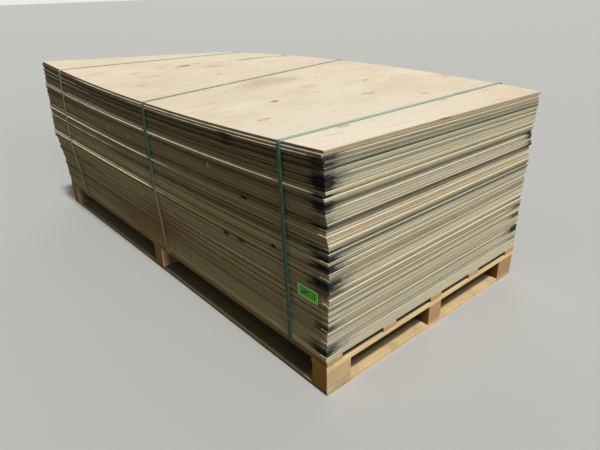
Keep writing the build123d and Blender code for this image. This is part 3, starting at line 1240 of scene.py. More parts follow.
@dataclass
class LoadShape:
    """Where each sheet lies: the same rule as in the part's source, in metres."""

    length: float = 2.440
    width: float = 1.220
    thickness: float = 0.009
    count: int = 75
    gap: float = 0.0003
    floor_of_load: float = 0.144
    warp_growth: float = 2.0
    near_lift: Triple = (0.058, 0.010, 0.038)
    far_lift: Triple = (0.001, 0.0525, 0.028)
    rear_growth: float = 1.0
    drifts: tuple[tuple[float, float, float, float], ...] = (
        (0.00, -0.002, 0.001, -0.10),
        (0.20, -0.006, 0.002, 0.25),
        (0.45, 0.002, -0.016, 0.70),
        (0.77, 0.000, -0.015, 0.25),
        (1.00, 0.005, -0.015, -0.20),
    )
    ragged_along: float = 0.0008
    ragged_across: float = 0.0007
    stride_along: float = 2.4
    stride_across: float = 4.1
    out_near: dict[int, Place] = by_sheet({
        (5, 12, 39): (3.0, 3.0), (23, 48): (6.0, 4.0), (31, 33): (8.0, 5.0), (34, 42, 44, 62, 65, 70): (4.0, 0.0),
        (60, 61): (6.0, 6.5), (68, 73): (4.0, 3.0), (57, 63): (2.5, 0.0), (16, 43, 51, 64, 66, 71): (-1.5, -2.5),
        (72,): (2.0, 7.0),
    })
    out_front: dict[int, float] = by_sheet({
        (44, 52): 6.0, (28, 42, 45): 4.5, (15, 25, 39, 46, 60, 62, 68): 3.0, (2, 7, 24, 35, 41, 47, 53, 72): 1.5,
        (6, 12, 27, 49, 55, 56): -1.5, (13, 38, 50, 61, 73): -3.0, (26, 43, 51, 57, 58): -5.0,
    })

    @property
    def pitch(self) -> float:
        """Height from one sheet to the next."""
        return self.thickness + self.gap

    @property
    def top(self) -> int:
        """Number of the top sheet."""
        return self.count - 1

    def share(self, index: int) -> float:
        """How far up the load a sheet lies, from 0 to 1."""
        return index / self.top

    def edge_lift(self, profile: Sequence[float], along: float, share: float) -> float:
        """Lift of a sheet at a long edge.

        Args:
            profile: The top sheet's lifts at that edge's rear end, middle and front end.
            along: Place along the edge, from -1 to 1.
            share: How far up the load the sheet lies.

        Returns:
            The lift there, on a parabola.
        """
        rear = profile[0] * share**self.rear_growth
        middle, front = (level * share**self.warp_growth for level in profile[1:])
        return middle + (front - rear) / 2 * along + ((front + rear) / 2 - middle) * along**2

    def underside(self, index: int, x: float, y: float) -> float:
        """Height of a sheet's lower face at a place in plan.

        Args:
            index: The sheet's number from the bottom.
            x: Place along the load.
            y: Place across it.

        Returns:
            The height over the floor.
        """
        across = y / self.width + 0.5
        lifts = (self.near_lift, self.far_lift)
        near, far = (self.edge_lift(lift, 2 * x / self.length, self.share(index)) for lift in lifts)
        return self.floor_of_load + self.gap + index * self.pitch + near * (1 - across) + far * across

    def drift(self, share: float) -> Triple:
        """Shift along, shift across and turn of the load at a share of its height.

        Args:
            share: How far up, from 0 to 1.

        Returns:
            The shifts in metres and the turn in degrees.
        """
        for lower, upper in zip(self.drifts, self.drifts[1:]):
            if share <= upper[0]:
                blend = (share - lower[0]) / (upper[0] - lower[0])
                return tuple(a + (b - a) * blend for a, b in zip(lower[1:], upper[1:]))
        return self.drifts[-1][1:]

    def corner(self, index: int, end: int, side: int) -> Place:
        """A sheet's corner in plan.

        Args:
            index: The sheet's number from the bottom.
            end: Rear or front.
            side: Near or far.

        Returns:
            Its place along and across the load.
        """
        along, across, turn = self.drift(self.share(index))
        out_rear, out_front = self.out_near.get(index, (0.0, 0.0))
        along += self.ragged_along * math.sin(self.stride_along * index) + self.out_front.get(index, 0.0) * MM
        across += self.ragged_across * math.sin(self.stride_across * index)
        across -= (out_front if end == FRONT else out_rear) * MM
        x, y = end * self.length / 2, side * self.width / 2
        cosine, sine = math.cos(math.radians(turn)), math.sin(math.radians(turn))
        return along + x * cosine - y * sine, across + x * sine + y * cosine

    def edge_place(self, index: int, side: int, x: float) -> float:
        """Where a sheet's long edge stands across the load, at a place along it.

        Args:
            index: The sheet's number from the bottom.
            side: Near or far.
            x: Place along the load.

        Returns:
            Its place across the load.
        """
        rear, front = (self.corner(index, end, side) for end in (REAR, FRONT))
        return rear[1] + (front[1] - rear[1]) * (x - rear[0]) / (front[0] - rear[0])

    def rises(self, index: int, side: int) -> Triple:
        """Heights of a sheet's lower face at the rear, middle and front of one long edge.

        Args:
            index: The sheet's number from the bottom.
            side: Near or far.

        Returns:
            The three heights.
        """
        rear, front = (self.corner(index, end, side) for end in (REAR, FRONT))
        middle = ((rear[0] + front[0]) / 2, (rear[1] + front[1]) / 2)
        return tuple(self.underside(index, *place) for place in (rear, middle, front))


@dataclass
class SheetStack:
    """The plywood sheets, five to a piece, each bent from one flat blank by the load's rule."""

    shape: LoadShape
    sheets_per_tier: int = 5
    plies: int = 5
    arris: float = 0.00035
    cross_ply_recess: float = 0.00028
    core_ply_recess: float = 0.00008
    glue_line: float = 0.00012
    cells_along: int = 40
    cells_across: int = 20
    fray: float = 0.0009
    seed: int = 41
    # How bright and how warm a sheet's edges are, and how dark the painted shadow line at their foot is, drawn between
    # two levels
    usual: dict[str, Place] = table({"tone": (0.52, 0.66), "warmth": (0.28, 0.55), "underline": (0.2, 0.6)})
    # The sheets that stand out from the rest in one of these, between two levels of their own
    unusual: tuple[tuple[str, float, float, tuple[int, ...]], ...] = (
        ("tone", 0.66, 0.78, (0, 2, 8, 15, 25, 26, 27, 29, 30, 31, 36, 40, 47, 54, 59, 63, 64, 65, 66, 67, 72)),
        ("tone", 0.86, 1.0, (1, 4, 9, 14, 17, 20, 28, 37, 38, 45, 48, 52, 60, 62, 73)),
        ("tone", 0.24, 0.34, (10, 12, 18, 19, 33, 42, 44, 50, 52, 57, 69, 74)),
        # Sheets 43, 51 and 58, set back at the front, are toned almost black: painted shade in their recesses.
        ("tone", -0.02, 0.1, (43, 51, 58)),
        ("warmth", 0.0, 0.12, (
            5, 6, 10, 18, 19, 30, 31, 40, 41, 42, 43, 44, 50, 51, 55, 56, 57, 58, 64, 65, 66, 67, 68, 69, 70, 71
        )),
        ("warmth", 0.75, 0.95, (14, 15, 23, 24, 35, 46, 47, 48, 61, 62, 73, 74)),
        ("underline", 0.7, 0.95, (7, 11, 12, 19, 22, 25, 26, 32, 36, 38, 42, 45, 52, 54, 60, 61, 64, 67, 69, 70, 73)),
    )
    # Proud sheets whose upper edge catches the light at the near side, drawn as a painted highlight: start, end and
    # strength
    lit_runs: dict[int, Triple] = table({
        23: (-0.55, 0.95, 0.9), 27: (-0.2, 0.9, 0.25), 33: (-1.3, 0.05, 1.0), 34: (-1.3, 0.4, 0.95),
        38: (-1.3, -0.5, 0.4), 42: (-1.3, -0.35, 0.55), 44: (-1.3, -0.3, 0.6), 46: (-1.3, -0.6, 0.45),
        48: (-1.3, 0.15, 0.9), 50: (-1.3, -0.4, 0.4), 52: (-1.3, -0.1, 0.4), 54: (-1.3, -0.85, 0.5),
        55: (-1.3, -0.2, 0.45), 57: (-0.3, 0.4, 0.6), 58: (-0.2, 0.3, 0.4), 60: (-1.3, 0.1, 0.4),
        61: (-1.3, 1.3, 1.0), 62: (-1.3, 0.0, 0.8), 63: (-1.3, -0.3, 0.7), 68: (-1.3, -0.6, 0.6),
        70: (-1.3, -0.7, 0.4), 72: (0.0, 1.3, 0.9), 73: (-0.6, 1.3, 0.8),
    })
    # Stretches of the near edge with a painted shadow line: start, end and strength
    shaded_runs: dict[int, Triple] = table({
        1: (-0.3, 0.9, 0.4), 10: (0.1, 0.9, 0.6), 11: (-1.3, 0.0, 0.4), 12: (-1.3, -0.3, 0.5),
        13: (-1.3, -0.3, 0.5), 17: (-1.3, -0.5, 0.4), 18: (-1.3, -0.4, 0.55), 19: (-1.3, 1.2, 0.7),
        22: (-1.3, -0.9, 0.6), 30: (-0.2, 1.1, 0.8), 32: (-0.4, 0.9, 0.4), 40: (0.2, 1.0, 0.7),
        45: (0.6, 1.3, 0.8), 47: (-0.9, 0.1, 0.4), 50: (-0.2, 1.2, 0.4), 52: (0.2, 1.1, 0.8), 59: (0.0, 1.3, 0.6),
        60: (-0.1, 1.3, 0.7), 64: (-1.3, 1.2, 0.5), 66: (-0.2, 1.3, 0.6), 67: (-1.0, 1.0, 0.7),
        69: (-1.3, 1.3, 0.5), 71: (-1.3, 1.0, 0.5),
    })
    near_stains: dict[int, float] = by_sheet({
        (3, 13, 30, 31, 37, 40, 43, 51, 58, 61, 64, 65, 66): 1.0, (2, 4, 32, 36, 38, 41, 57, 63, 67, 72): 0.9,
        (70,): 0.85, (29, 59): 0.8, (12, 56): 0.7, (5, 6, 14, 27, 28): 0.6, (26, 33, 68, 71): 0.5, (16, 53): 0.4,
        (21, 54, 69): 0.3,
    })
    far_stains: dict[int, float] = by_sheet({
        (10, 56): 1.0, (9, 11, 55, 57): 0.9, (17, 51, 52): 0.8, (18, 22, 23, 43): 0.7, (5, 26, 53): 0.6,
    })

    def rings(self) -> list[Triple]:
        """The edge's profile from the lower face up.

        Returns:
            Height, inset and the ply number of the band that ends there.
        """
        thickness, last = self.shape.thickness, self.plies - 1
        recesses = (self.core_ply_recess, self.cross_ply_recess)
        insets = [0.0, *(recesses[number % 2] for number in range(1, last)), 0.0]
        rings = [(0.0, self.arris, 0.0), (self.arris, 0.0, 0.0)]
        for number in range(1, self.plies):
            glued = number * (thickness / self.plies)
            rings.append((glued - self.glue_line, insets[number - 1], number - 1.0))
            rings.append((glued + self.glue_line, insets[number], number - 0.5))
        return [*rings, (thickness - self.arris, 0.0, float(last)), (thickness, self.arris, float(last))]

    def blank(self, fine_faces: bool) -> bpy.types.Object:
        """A flat sheet at its full size with its plies cut into the edges.

        Args:
            fine_faces: Whether the upper and lower faces are divided both ways.

        Returns:
            The blank, to be discarded after use.
        """
        columns, rows = self.cells_along, self.cells_across
        half_length, half_width = self.shape.length / 2, self.shape.width / 2
        xs = [half_length * (2 * step / columns - 1) for step in range(columns + 1)]
        ys = [half_width * (2 * step / rows - 1) for step in range(rows + 1)]
        walk = [
            *((column, 0) for column in range(columns)),
            *((columns, row) for row in range(rows)),
            *((column, rows) for column in range(columns, 0, -1)),
            *((0, row) for row in range(rows, 0, -1)),
        ]
        count = len(walk)
        rings = self.rings()
        points: list[Triple] = []
        outward: list[Triple] = []
        faces: list[tuple] = []

        for height, inset, _ in rings:
            for column, row in walk:
                x = max(inset - half_length, min(half_length - inset, xs[column]))
                y = max(inset - half_width, min(half_width - inset, ys[row]))
                points.append((x, y, height))
                outward.append((float((column == columns) - (column == 0)), float((row == rows) - (row == 0)), 0.0))
        for ring, (_, _, ply) in enumerate(rings[1:]):
            low, high = ring * count, (ring + 1) * count
            for step, (_, row) in enumerate(walk):
                after = (step + 1) % count
                on_side = float(row == walk[after][1])
                corners = (low + step, low + after, high + after, high + step)
                faces.append((corners, ply, on_side, float(Region.EDGE.value)))

        for ring, kind, turn in ((0, Region.FACE, -1), (len(rings) - 1, Region.TOP, 1)):
            table = {cell: ring * count + step for step, cell in enumerate(walk)}
            if fine_faces:
                for column, row in product(range(1, columns), range(1, rows)):
                    table[column, row] = len(points)
                    points.append((xs[column], ys[row], rings[ring][0]))
                    outward.append(ORIGIN)
                cells = [
                    [(column, row), (column + 1, row), (column + 1, row + 1), (column, row + 1)]
                    for column, row in product(range(columns), range(rows))
                ]
            else:
                cells = []
                for column in range(columns):
                    ahead = range(rows + 1) if column == columns - 1 else (0, rows)
                    behind = range(rows, 0, -1) if column == 0 else (rows,)
                    round_cell = [*((column + 1, row) for row in ahead), *((column, row) for row in behind)]
                    cells.append([(column, 0), *round_cell])
            for cell in cells:
                faces.append(([table[corner] for corner in cell][::turn], 0.0, 0.0, float(kind.value)))

        blank = new_object("sheet_blank", points, [], [face[0] for face in faces], outward=outward)
        for number, name in enumerate(("ply", "long_side", "region"), 1):
            set_attribute(blank.data, name, [face[number] for face in faces], "FACE")
        return blank

    def tree(self) -> bpy.types.NodeTree:
        """The tree that lays a blank on each sheet's place, bends it, and gives it its materials.

        Returns:
            The tree.
        """
        graph, given = geometry_graph(
            "lay_sheets",
            Blank=OBJECT,
            Length=self.shape.length,
            Width=self.shape.width,
            Fray=self.fray,
            Seed=float(self.seed),
            Top_sheet=float(self.shape.top),
            Edge_finish=MATERIAL,
            Face_finish=MATERIAL,
            Top_finish=MATERIAL,
        )
        blank = graph.out("GeometryNodeObjectInfo", {"Object": given["Blank"]}, "Geometry")
        laid = graph.out("GeometryNodeInstanceOnPoints", {"Points": given["Geometry"], "Instance": blank})
        real = graph.out("GeometryNodeRealizeInstances", {"Geometry": laid})

        x, y, z = graph.parts(graph.out("GeometryNodeInputPosition"))
        along = x / given["Length"] + 0.5
        across = y / given["Width"] + 0.5

        def mixed(share: Value, *names: str) -> Value:
            """Blend two vectors that the points carry."""
            return graph.between(share, *(graph.stored(name, "FLOAT_VECTOR") for name in names), "VECTOR")

        near = mixed(along, "near_rear", "near_front")
        far = mixed(along, "far_rear", "far_front")
        plan = graph.between(across, near, far, "VECTOR")
        rise = mixed(across, "near_rise", "far_rise")
        # A parabola through the rises at the rear, middle and front
        rest = 1.0 - along
        lean = 1.0 - along * 2.0
        weights = graph.compose(rest * lean, along * rest * 4.0, along * lean * -1.0)
        height = graph.vector("DOT_PRODUCT", rise, weights) + z
        bent = graph.vector("ADD", plan, graph.compose(0.0, 0.0, height))

        sheet = graph.stored("sheet")
        key = graph.compose((x + y) * 6.0, sheet * 1.7, given["Seed"])
        bite = graph.noise(key, 2.4, 3.0, 0.7).span(0.50, 0.85)
        inward = graph.vector("SCALE", graph.stored("outward", "FLOAT_VECTOR"), bite * given["Fray"] * -1.0)
        place = graph.vector("ADD", bent, inward)
        moved = graph.out("GeometryNodeSetPosition", {"Geometry": real, "Position": place})

        region = graph.stored("region")
        is_face, is_top = (graph.math("GREATER_THAN", region, kind.value - 0.5) for kind in (Region.FACE, Region.TOP))
        on_top = is_top * graph.math("COMPARE", sheet, given["Top sheet"], 0.1)
        coats = ((True, given["Edge finish"]), (is_face, given["Face finish"]), (on_top, given["Top finish"]))
        return finish_tree(graph, moved, *coats)

    def looks(self) -> list[dict[str, float]]:
        """Brightness, warmth and painted shadow line of each sheet's edges, from 0 to 1.

        Returns:
            For each sheet, its levels by name.
        """
        draw = random.Random(self.seed)
        looks = []
        for index in range(self.shape.count):
            look = {name: draw.uniform(*reach) for name, reach in self.usual.items()}
            for name, low, high, sheets in self.unusual:
                if index in sheets:
                    look[name] = draw.uniform(low, high)
            looks.append(look)
        return looks

    def points(self, indexes: Sequence[int], looks: Sequence[dict[str, float]]) -> bpy.types.Object:
        """Points that carry where some sheets lie and how they look.

        Args:
            indexes: The sheets' numbers.
            looks: The look of every sheet.

        Returns:
            An object with one point for each sheet.
        """
        carried: dict[str, list] = {"sheet": [float(index) for index in indexes]}
        for edge, side in (("near", NEAR), ("far", FAR)):
            carried[f"{edge}_rise"] = [self.shape.rises(index, side) for index in indexes]
            for where, end in (("rear", REAR), ("front", FRONT)):
                carried[f"{edge}_{where}"] = [(*self.shape.corner(index, end, side), 0.0) for index in indexes]
        for name in self.usual:
            carried[name] = [looks[index][name] for index in indexes]
        for name, table, none in (
            ("lit", self.lit_runs, ORIGIN),
            ("shaded", self.shaded_runs, ORIGIN),
            ("stain_near", self.near_stains, 0.0),
            ("stain_far", self.far_stains, 0.0),
        ):
            carried[name] = [table.get(index, none) for index in indexes]
        return new_object("sheet_places", [ORIGIN] * len(indexes), [], [], **carried)

    def build(self) -> list[bpy.types.Object]:
        """Make every tier and let it stand for its CAD node.

        Returns:
            The pieces, from the pallet up.
        """
        coarse, fine = self.blank(False), self.blank(True)
        tree = self.tree()
        looks = self.looks()
        pieces = []
        for number in range(1, self.shape.count // self.sheets_per_tier + 1):
            indexes = range((number - 1) * self.sheets_per_tier, number * self.sheets_per_tier)
            piece = grown(
                f"sheets_{number:02d}",
                self.points(indexes, looks),
                tree,
                Blank=fine if self.shape.top in indexes else coarse,
                Edge_finish=material_of(PlyEdgeFinish()),
                Face_finish=material_of(FaceVeneerFinish()),
                Top_finish=material_of(TopVeneerFinish()),
            )
            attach(piece, BODY)
            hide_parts(f"plywood_tier_{number:02d}")
            pieces.append(piece)
        discard(coarse, fine)
        return pieces


# -------- pallet


@dataclass
class Pallet:
    """The pallet's boards and blocks, each sawn anew over its CAD node with eased edges and its own grain."""

    arris: float = 0.0016
    wobble: float = 0.0009
    cell: float = 0.06
    wave_rates: Place = (9.0, 23.0)
    seed: int = 17
    nail_radius: float = 0.0045
    nail_height: float = 0.0012
    nail_depth: float = 0.0007
    nail_sides: int = 10
    nail_shares: tuple[Place, ...] = ((0.27, 0.25), (0.70, 0.46), (0.36, 0.77))
    # Brightness and redness of the boards that the photograph shows best
    looks: dict[str, tuple[float, float]] = table({
        "block_front_near": (0.62, 0.10), "block_front_centre": (0.30, 0.62), "block_front_far": (0.34, 0.95),
        # The near base board's low brightness is partly its own tone, partly painted shade.
        "cross_board_front": (2.0, 0.0), "base_board_front": (1.75, 0.14), "base_board_near": (0.20, 0.20),
        "block_middle_near": (0.60, 0.35), "block_rear_near": (0.35, 0.95), "deck_board_1": (0.25, 0.55),
        "deck_board_2": (0.40, 0.45), "deck_board_3": (0.30, 0.60), "deck_board_4": (0.45, 0.40),
        "deck_board_5": (0.35, 0.60),
    })

    def nodes(self, *kinds: str) -> list[str]:
        """The names of the pallet's CAD nodes of some kinds."""
        return sorted(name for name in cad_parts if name.startswith(kinds))

    def grain_axis(self, name: str, size: Vector) -> int:
        """Which way a board's grain runs: along its longest side, and across the load in the blocks."""
        return 1 if name.startswith("block") else max(range(3), key=lambda axis: size[axis])

    def sawn(self, low: Vector, high: Vector, axis: int, draw: random.Random) -> bmesh.types.BMesh:
        """Saw a box with eased edges and slightly wavy sides.

        Args:
            low: Its lower corner.
            high: Its upper corner.
            axis: Which way its grain runs.
            draw: Source of its small differences.

        Returns:
            The shape.
        """
        size, centre = high - low, (low + high) / 2
        shape = bmesh.new()
        bmesh.ops.create_cube(shape, size=1.0, matrix=Matrix.Translation(centre) @ Matrix.Diagonal((*size, 1.0)))
        ease = {"offset": self.arris * draw.uniform(0.7, 1.3), "offset_type": "OFFSET", "affect": "EDGES"}
        bmesh.ops.bevel(shape, geom=list(shape.edges), segments=2, profile=0.5, **ease)
        unit = [float(part == axis) for part in range(3)]
        cells = max(2, round(size[axis] / self.cell))
        for step in range(1, cells):
            cut = Vector(centre)
            cut[axis] = low[axis] + size[axis] * step / cells
            everything = [*shape.verts, *shape.edges, *shape.faces]
            bmesh.ops.bisect_plane(shape, geom=everything, plane_co=cut, plane_no=unit)
        phases = [draw.uniform(0.0, math.tau) for _ in range(4)]
        for vertex in shape.verts:
            run = vertex.co[axis]
            waves = (math.sin(rate * run + phase) for rate, phase in zip(self.wave_rates, phases))
            depth = self.wobble * (0.5 + 0.25 * sum(waves))
            for side in {0, 1} - {axis}:
                away = vertex.co[side] - centre[side]
                vertex.co[side] -= depth * away / (size[side] / 2)
        return shape

    def board(self, name: str, draw: random.Random) -> bpy.types.Object:
        """Saw one board or block and give it its place in a log.

        Args:
            name: The CAD node it stands for.
            draw: Source of its small differences.

        Returns:
            The piece.
        """
        low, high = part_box(name)
        centre = (low + high) / 2
        axis = self.grain_axis(name, high - low)
        shape = self.sawn(low, high, axis, draw)
        piece = new_object(f"sawn_{name}", [], [], [])
        mesh = piece.data
        shape.to_mesh(mesh)
        shape.free()

        # The heart of the log, from the board's middle: along, across and up
        pith = [draw.uniform(-1, 1), draw.uniform(-0.05, 0.05), draw.uniform(0.02, 0.11) * draw.choice((-1, 1))]
        if name.startswith("block"):
            pith = [draw.uniform(-reach, reach) for reach in (1, 0.07, 0.07)]
        order = sorted(range(3), key=lambda part: part != axis)
        places = [
            [vertex.co[part] - centre[part] + start for part, start in zip(order, pith)] for vertex in mesh.vertices
        ]
        set_attribute(mesh, "log_place", places)
        set_attribute(mesh, "grain_axis", tuple(float(part == axis) for part in range(3)))
        drawn = (draw.uniform(0.2, 0.9), draw.uniform(0.0, 0.6))
        for key, value in zip(("tone", "ruddy"), self.looks.get(name, drawn)):
            set_attribute(mesh, key, value)
        mesh.materials.append(material_of(PalletWoodFinish()))
        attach(piece, BODY)
        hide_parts(name)
        return piece

    def nails(self) -> bpy.types.Object:
        """Nail heads let into the base boards from below, three under each block.

        Returns:
            The piece.
        """
        sizes = {"Head_radius": self.nail_radius, "Head_height": self.nail_height}
        graph, given = geometry_graph("set_nails", **sizes, Finish=MATERIAL)
        values = {"Vertices": self.nail_sides, "Radius": given["Head radius"], "Depth": given["Head height"]}
        head = graph.out("GeometryNodeMeshCylinder", values, "Mesh")
        facing = graph.stored("facing", "FLOAT_VECTOR")
        turn = graph.out("FunctionNodeAlignRotationToVector", {"Vector": facing}, axis="Z")
        values = {"Points": given["Geometry"], "Instance": head, "Rotation": turn}
        laid = graph.out("GeometryNodeInstanceOnPoints", values)
        real = graph.out("GeometryNodeRealizeInstances", {"Geometry": laid})
        tree = finish_tree(graph, real, (True, given["Finish"]))

        places = []
        for name in self.nodes("block"):
            low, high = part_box(name)
            for along, across in self.nail_shares:
                x = low.x + (high.x - low.x) * along
                y = low.y + (high.y - low.y) * across
                places.append((x, y, self.nail_depth))
        source = new_object("nail_places", places, [], [], facing=(0.0, 0.0, -1.0))
        piece = grown("nails", source, tree, Finish=material_of(NailFinish()))
        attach(piece, BODY)
        return piece

    def build(self) -> list[bpy.types.Object]:
        """Make every board, block and nail.

        Returns:
            The pieces.
        """
        draw = random.Random(self.seed)
        names = self.nodes("deck_board", "cross_board", "base_board", "block")
        return [*(self.board(name, draw) for name in names), self.nails()]


# -------- straps


@dataclass
class StrapPlan:
    """Where one strap goes: its place along the load near its near top edge, near foot and far top edge."""

    name: str
    near_top: float
    near_foot: float
    far_top: float
    dusty: float
    scuffed_top: float = 0.0
    scuffed_foot: float = 0.0
    weld_from_near: float | None = None


@dataclass
class Straps:
    """Flat polyester bands, tight round the load and under the deck, with their ends welded."""

    shape: LoadShape
    width: float = 0.019
    thickness: float = 0.0008
    clearance: float = 0.0007
    weld_length: float = 0.080
    weld_lift: float = 1.08
    weld_zone: float = 0.2
    cross_top: float = 0.123
    bend: float = 0.004
    bend_steps: int = 3
    top_steps: int = 6
    plans: tuple[StrapPlan, ...] = (
        StrapPlan("strap_rear", -0.918, -0.920, -0.930, 0.25, 0.8, 0.9),
        StrapPlan("strap_middle", 0.117, 0.115, 0.057, 0.2, 0.0, 0.6),
        StrapPlan("strap_front", 1.035, 1.034, 1.033, 0.65, weld_from_near=0.890),
    )

    def plane(self, plan: StrapPlan) -> tuple[Vector, Vector, Vector]:
        """The plane that a strap lies in.

        Args:
            plan: The strap.

        Returns:
            Its origin, and its directions across the load and up it.
        """
        shape = self.shape
        half = shape.width / 2
        near, far = (
            Vector((x, y, shape.underside(shape.top, x, y) + shape.thickness))
            for x, y in ((plan.near_top, -half), (plan.far_top, half))
        )
        across = (far - near).normalized()
        normal = across.cross(near - Vector((plan.near_foot, -half, self.cross_top))).normalized()
        return near, across, normal.cross(across)

    def touched(self, plan: StrapPlan) -> list[Place]:
        """The points that the strap could lie on, in its own plane.

        Args:
            plan: The strap.

        Returns:
            Places across and up the plane.
        """
        shape = self.shape
        origin, across, up = self.plane(plan)
        normal = across.cross(up)

        def along(y: float, z: float) -> float:
            """Place along the load where the plane passes a point of its side view."""
            return origin.x - (normal.y * (y - origin.y) + normal.z * (z - origin.z)) / normal.x

        places = []
        for side in (NEAR, FAR):
            edge = side * shape.width / 2
            places += [(along(edge, z), edge, z) for z in (self.cross_top, shape.floor_of_load)]
            for index in range(shape.count):
                x = along(edge, shape.underside(index, plan.near_top, edge))
                y = shape.edge_place(index, side, x)
                low = shape.underside(index, x, y)
                places += [(x, y, low), (x, y, low + shape.thickness)]
        for step in range(self.top_steps + 1):
            y = shape.width * (step / self.top_steps - 0.5)
            x = along(y, shape.underside(shape.top, plan.near_top, y) + shape.thickness)
            places.append((x, y, shape.underside(shape.top, x, y) + shape.thickness))
        return [tuple((Vector(place) - origin).dot(way) for way in (across, up)) for place in places]

    @staticmethod
    def taut(places: Iterable[Place]) -> list[Place]:
        """The line that a tight band takes round some points: their convex outline.

        Args:
            places: The points.

        Returns:
            The outline's corners, anticlockwise.
        """
        ordered = sorted(places)
        outline: list[Place] = []
        for walk in (ordered, ordered[::-1]):
            chain: list[Place] = []
            for place in walk:
                while len(chain) > 1 and (
                    (chain[-1][0] - chain[-2][0]) * (place[1] - chain[-2][1])
                    - (chain[-1][1] - chain[-2][1]) * (place[0] - chain[-2][0])
                    <= 0
                ):
                    chain.pop()
                chain.append(place)
            outline += chain[:-1]
        return outline

    @staticmethod
    def moved_out(outline: Sequence[Place], distance: float) -> list[Place]:
        """A convex outline moved outwards, with its corners kept.

        Args:
            outline: The corners, anticlockwise.
            distance: How far.

        Returns:
            The new corners.
        """
        moved = []
        for before, here, after in zip((outline[-1], *outline), outline, (*outline[1:], outline[0])):
            arrive = (Vector(here) - Vector(before)).normalized()
            leave = (Vector(after) - Vector(here)).normalized()
            first, second = (Vector((way.y, -way.x)) for way in (arrive, leave))
            moved.append(tuple(Vector(here) + (first + second) * distance / (1 + first.dot(second))))
        return moved

    def tree(self) -> bpy.types.NodeTree:
        """The tree that runs a flat band along a path.

        Returns:
            The tree.
        """
        sizes = {"Width": self.width, "Thickness": self.thickness, "Bend": self.bend}
        graph, given = geometry_graph("run_band", **sizes, Across=(1.0, 0.0, 0.0), Finish=MATERIAL)

        def kept(geometry: Value, name: str, value: Value) -> Value:
            """The geometry with a number kept at its points."""
            values = {"Geometry": geometry, "Name": name, "Value": value}
            return graph.out("GeometryNodeStoreNamedAttribute", values, data_type="FLOAT", domain="POINT")

        path = graph.out("GeometryNodeMeshToCurve", {"Mesh": given["Geometry"]})
        values = {"Curve": path, "Radius": given["Bend"], "Limit Radius": True, "Count": self.bend_steps}
        eased = graph.out("GeometryNodeFilletCurve", values, mode="POLY")
        turned = graph.out("GeometryNodeSetCurveNormal", {"Curve": eased, "Normal": given["Across"]}, mode="FREE")
        measured = kept(turned, "run", graph.out("GeometryNodeSplineParameter", output="Length"))
        values = {"Width": given["Width"], "Height": given["Thickness"]}
        profile = graph.out("GeometryNodeCurvePrimitiveQuadrilateral", values)
        section = kept(profile, "over", graph.parts(graph.out("GeometryNodeInputPosition"))[0])
        values = {"Curve": measured, "Profile Curve": section, "Fill Caps": True}
        band = graph.out("GeometryNodeCurveToMesh", values)
        real = graph.out("GeometryNodeRealizeInstances", {"Geometry": band})
        return finish_tree(graph, real, (True, given["Finish"]))

    def path(self, plan: StrapPlan, corners: Sequence[Place], closed: bool) -> bpy.types.Object:
        """A line object through corners that are given in the strap's plane.

        Args:
            plan: The strap.
            corners: Places across and up its plane.
            closed: Whether the line returns to its start.

        Returns:
            The line.
        """
        origin, across, up = self.plane(plan)
        points = [tuple(origin + across * first + up * second) for first, second in corners]
        edges = [(number, number + 1) for number in range(len(points) - 1)]
        if closed:
            edges.append((len(points) - 1, 0))
        return new_object("strap_path", points, edges, [])

    def weld_path(self, outline: Sequence[Place], start: float) -> list[Place]:
        """The upper layer of the doubled ends: part of the outline between two distances across.

        Args:
            outline: The band's outline, anticlockwise.
            start: Where the doubled part starts, from the near edge.

        Returns:
            Its corners.
        """
        stop = start + self.weld_length
        raised = self.moved_out(outline, self.thickness * self.weld_lift)
        upper = sorted(place for place in raised if place[1] > -self.weld_zone)

        def height(across: float) -> float:
            """Height of the raised outline at a distance across.

            Args:
                across: The distance from the near edge.

            Returns:
                The height in the strap's plane.
            """
            for low, high in zip(upper, upper[1:]):
                if low[0] <= across <= high[0]:
                    return low[1] + (high[1] - low[1]) * (across - low[0]) / (high[0] - low[0])
            return upper[-1][1]

        inner = [place for place in upper if start < place[0] < stop]
        return [(start, height(start)), *inner, (stop, height(stop))]

    def build(self) -> list[bpy.types.Object]:
        """Make the straps and let each stand for its CAD node.

        Returns:
            The pieces.
        """
        tree = self.tree()
        pieces = []
        for plan in self.plans:
            _, across, up = self.plane(plan)
            way = tuple(across.cross(up))
            outline = self.moved_out(self.taut(self.touched(plan)), self.clearance + self.thickness / 2)
            runs = [(self.path(plan, outline, True), self.bend)]
            if plan.weld_from_near is not None:
                runs.append((self.path(plan, self.weld_path(outline, plan.weld_from_near), False), 0.0))
            finish = material_of(StrapFinish())
            name = plan.name + "_band"
            made = [grown(name, source, tree, Bend=bend, Across=way, Finish=finish) for source, bend in runs]
            piece = self.joined(made)
            set_attribute(piece.data, "dusty", plan.dusty)
            for name, level in (("scuffed_top", plan.scuffed_top), ("scuffed_foot", plan.scuffed_foot)):
                # Only the near side of a strap is scuffed
                near = [level if vertex.co.y < -self.shape.width / 2 else 0.0 for vertex in piece.data.vertices]
                set_attribute(piece.data, name, near)
            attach(piece, BODY)
            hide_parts(plan.name)
            pieces.append(piece)
        return pieces

    @staticmethod
    def joined(parts: Sequence[bpy.types.Object]) -> bpy.types.Object:
        """One object from a few, with outward normals.

        Args:
            parts: The objects, of which the first stays.

        Returns:
            The joined object.
        """
        if len(parts) > 1:
            with bpy.context.temp_override(
                active_object=parts[0], selected_editable_objects=list(parts), selected_objects=list(parts)
            ):
                bpy.ops.object.join()
        shape = bmesh.new()
        shape.from_mesh(parts[0].data)
        bmesh.ops.remove_doubles(shape, verts=shape.verts, dist=SAME_PLACE)
        bmesh.ops.recalc_face_normals(shape, faces=shape.faces)
        shape.to_mesh(parts[0].data)
        shape.free()
        return parts[0]


# -------- sticker


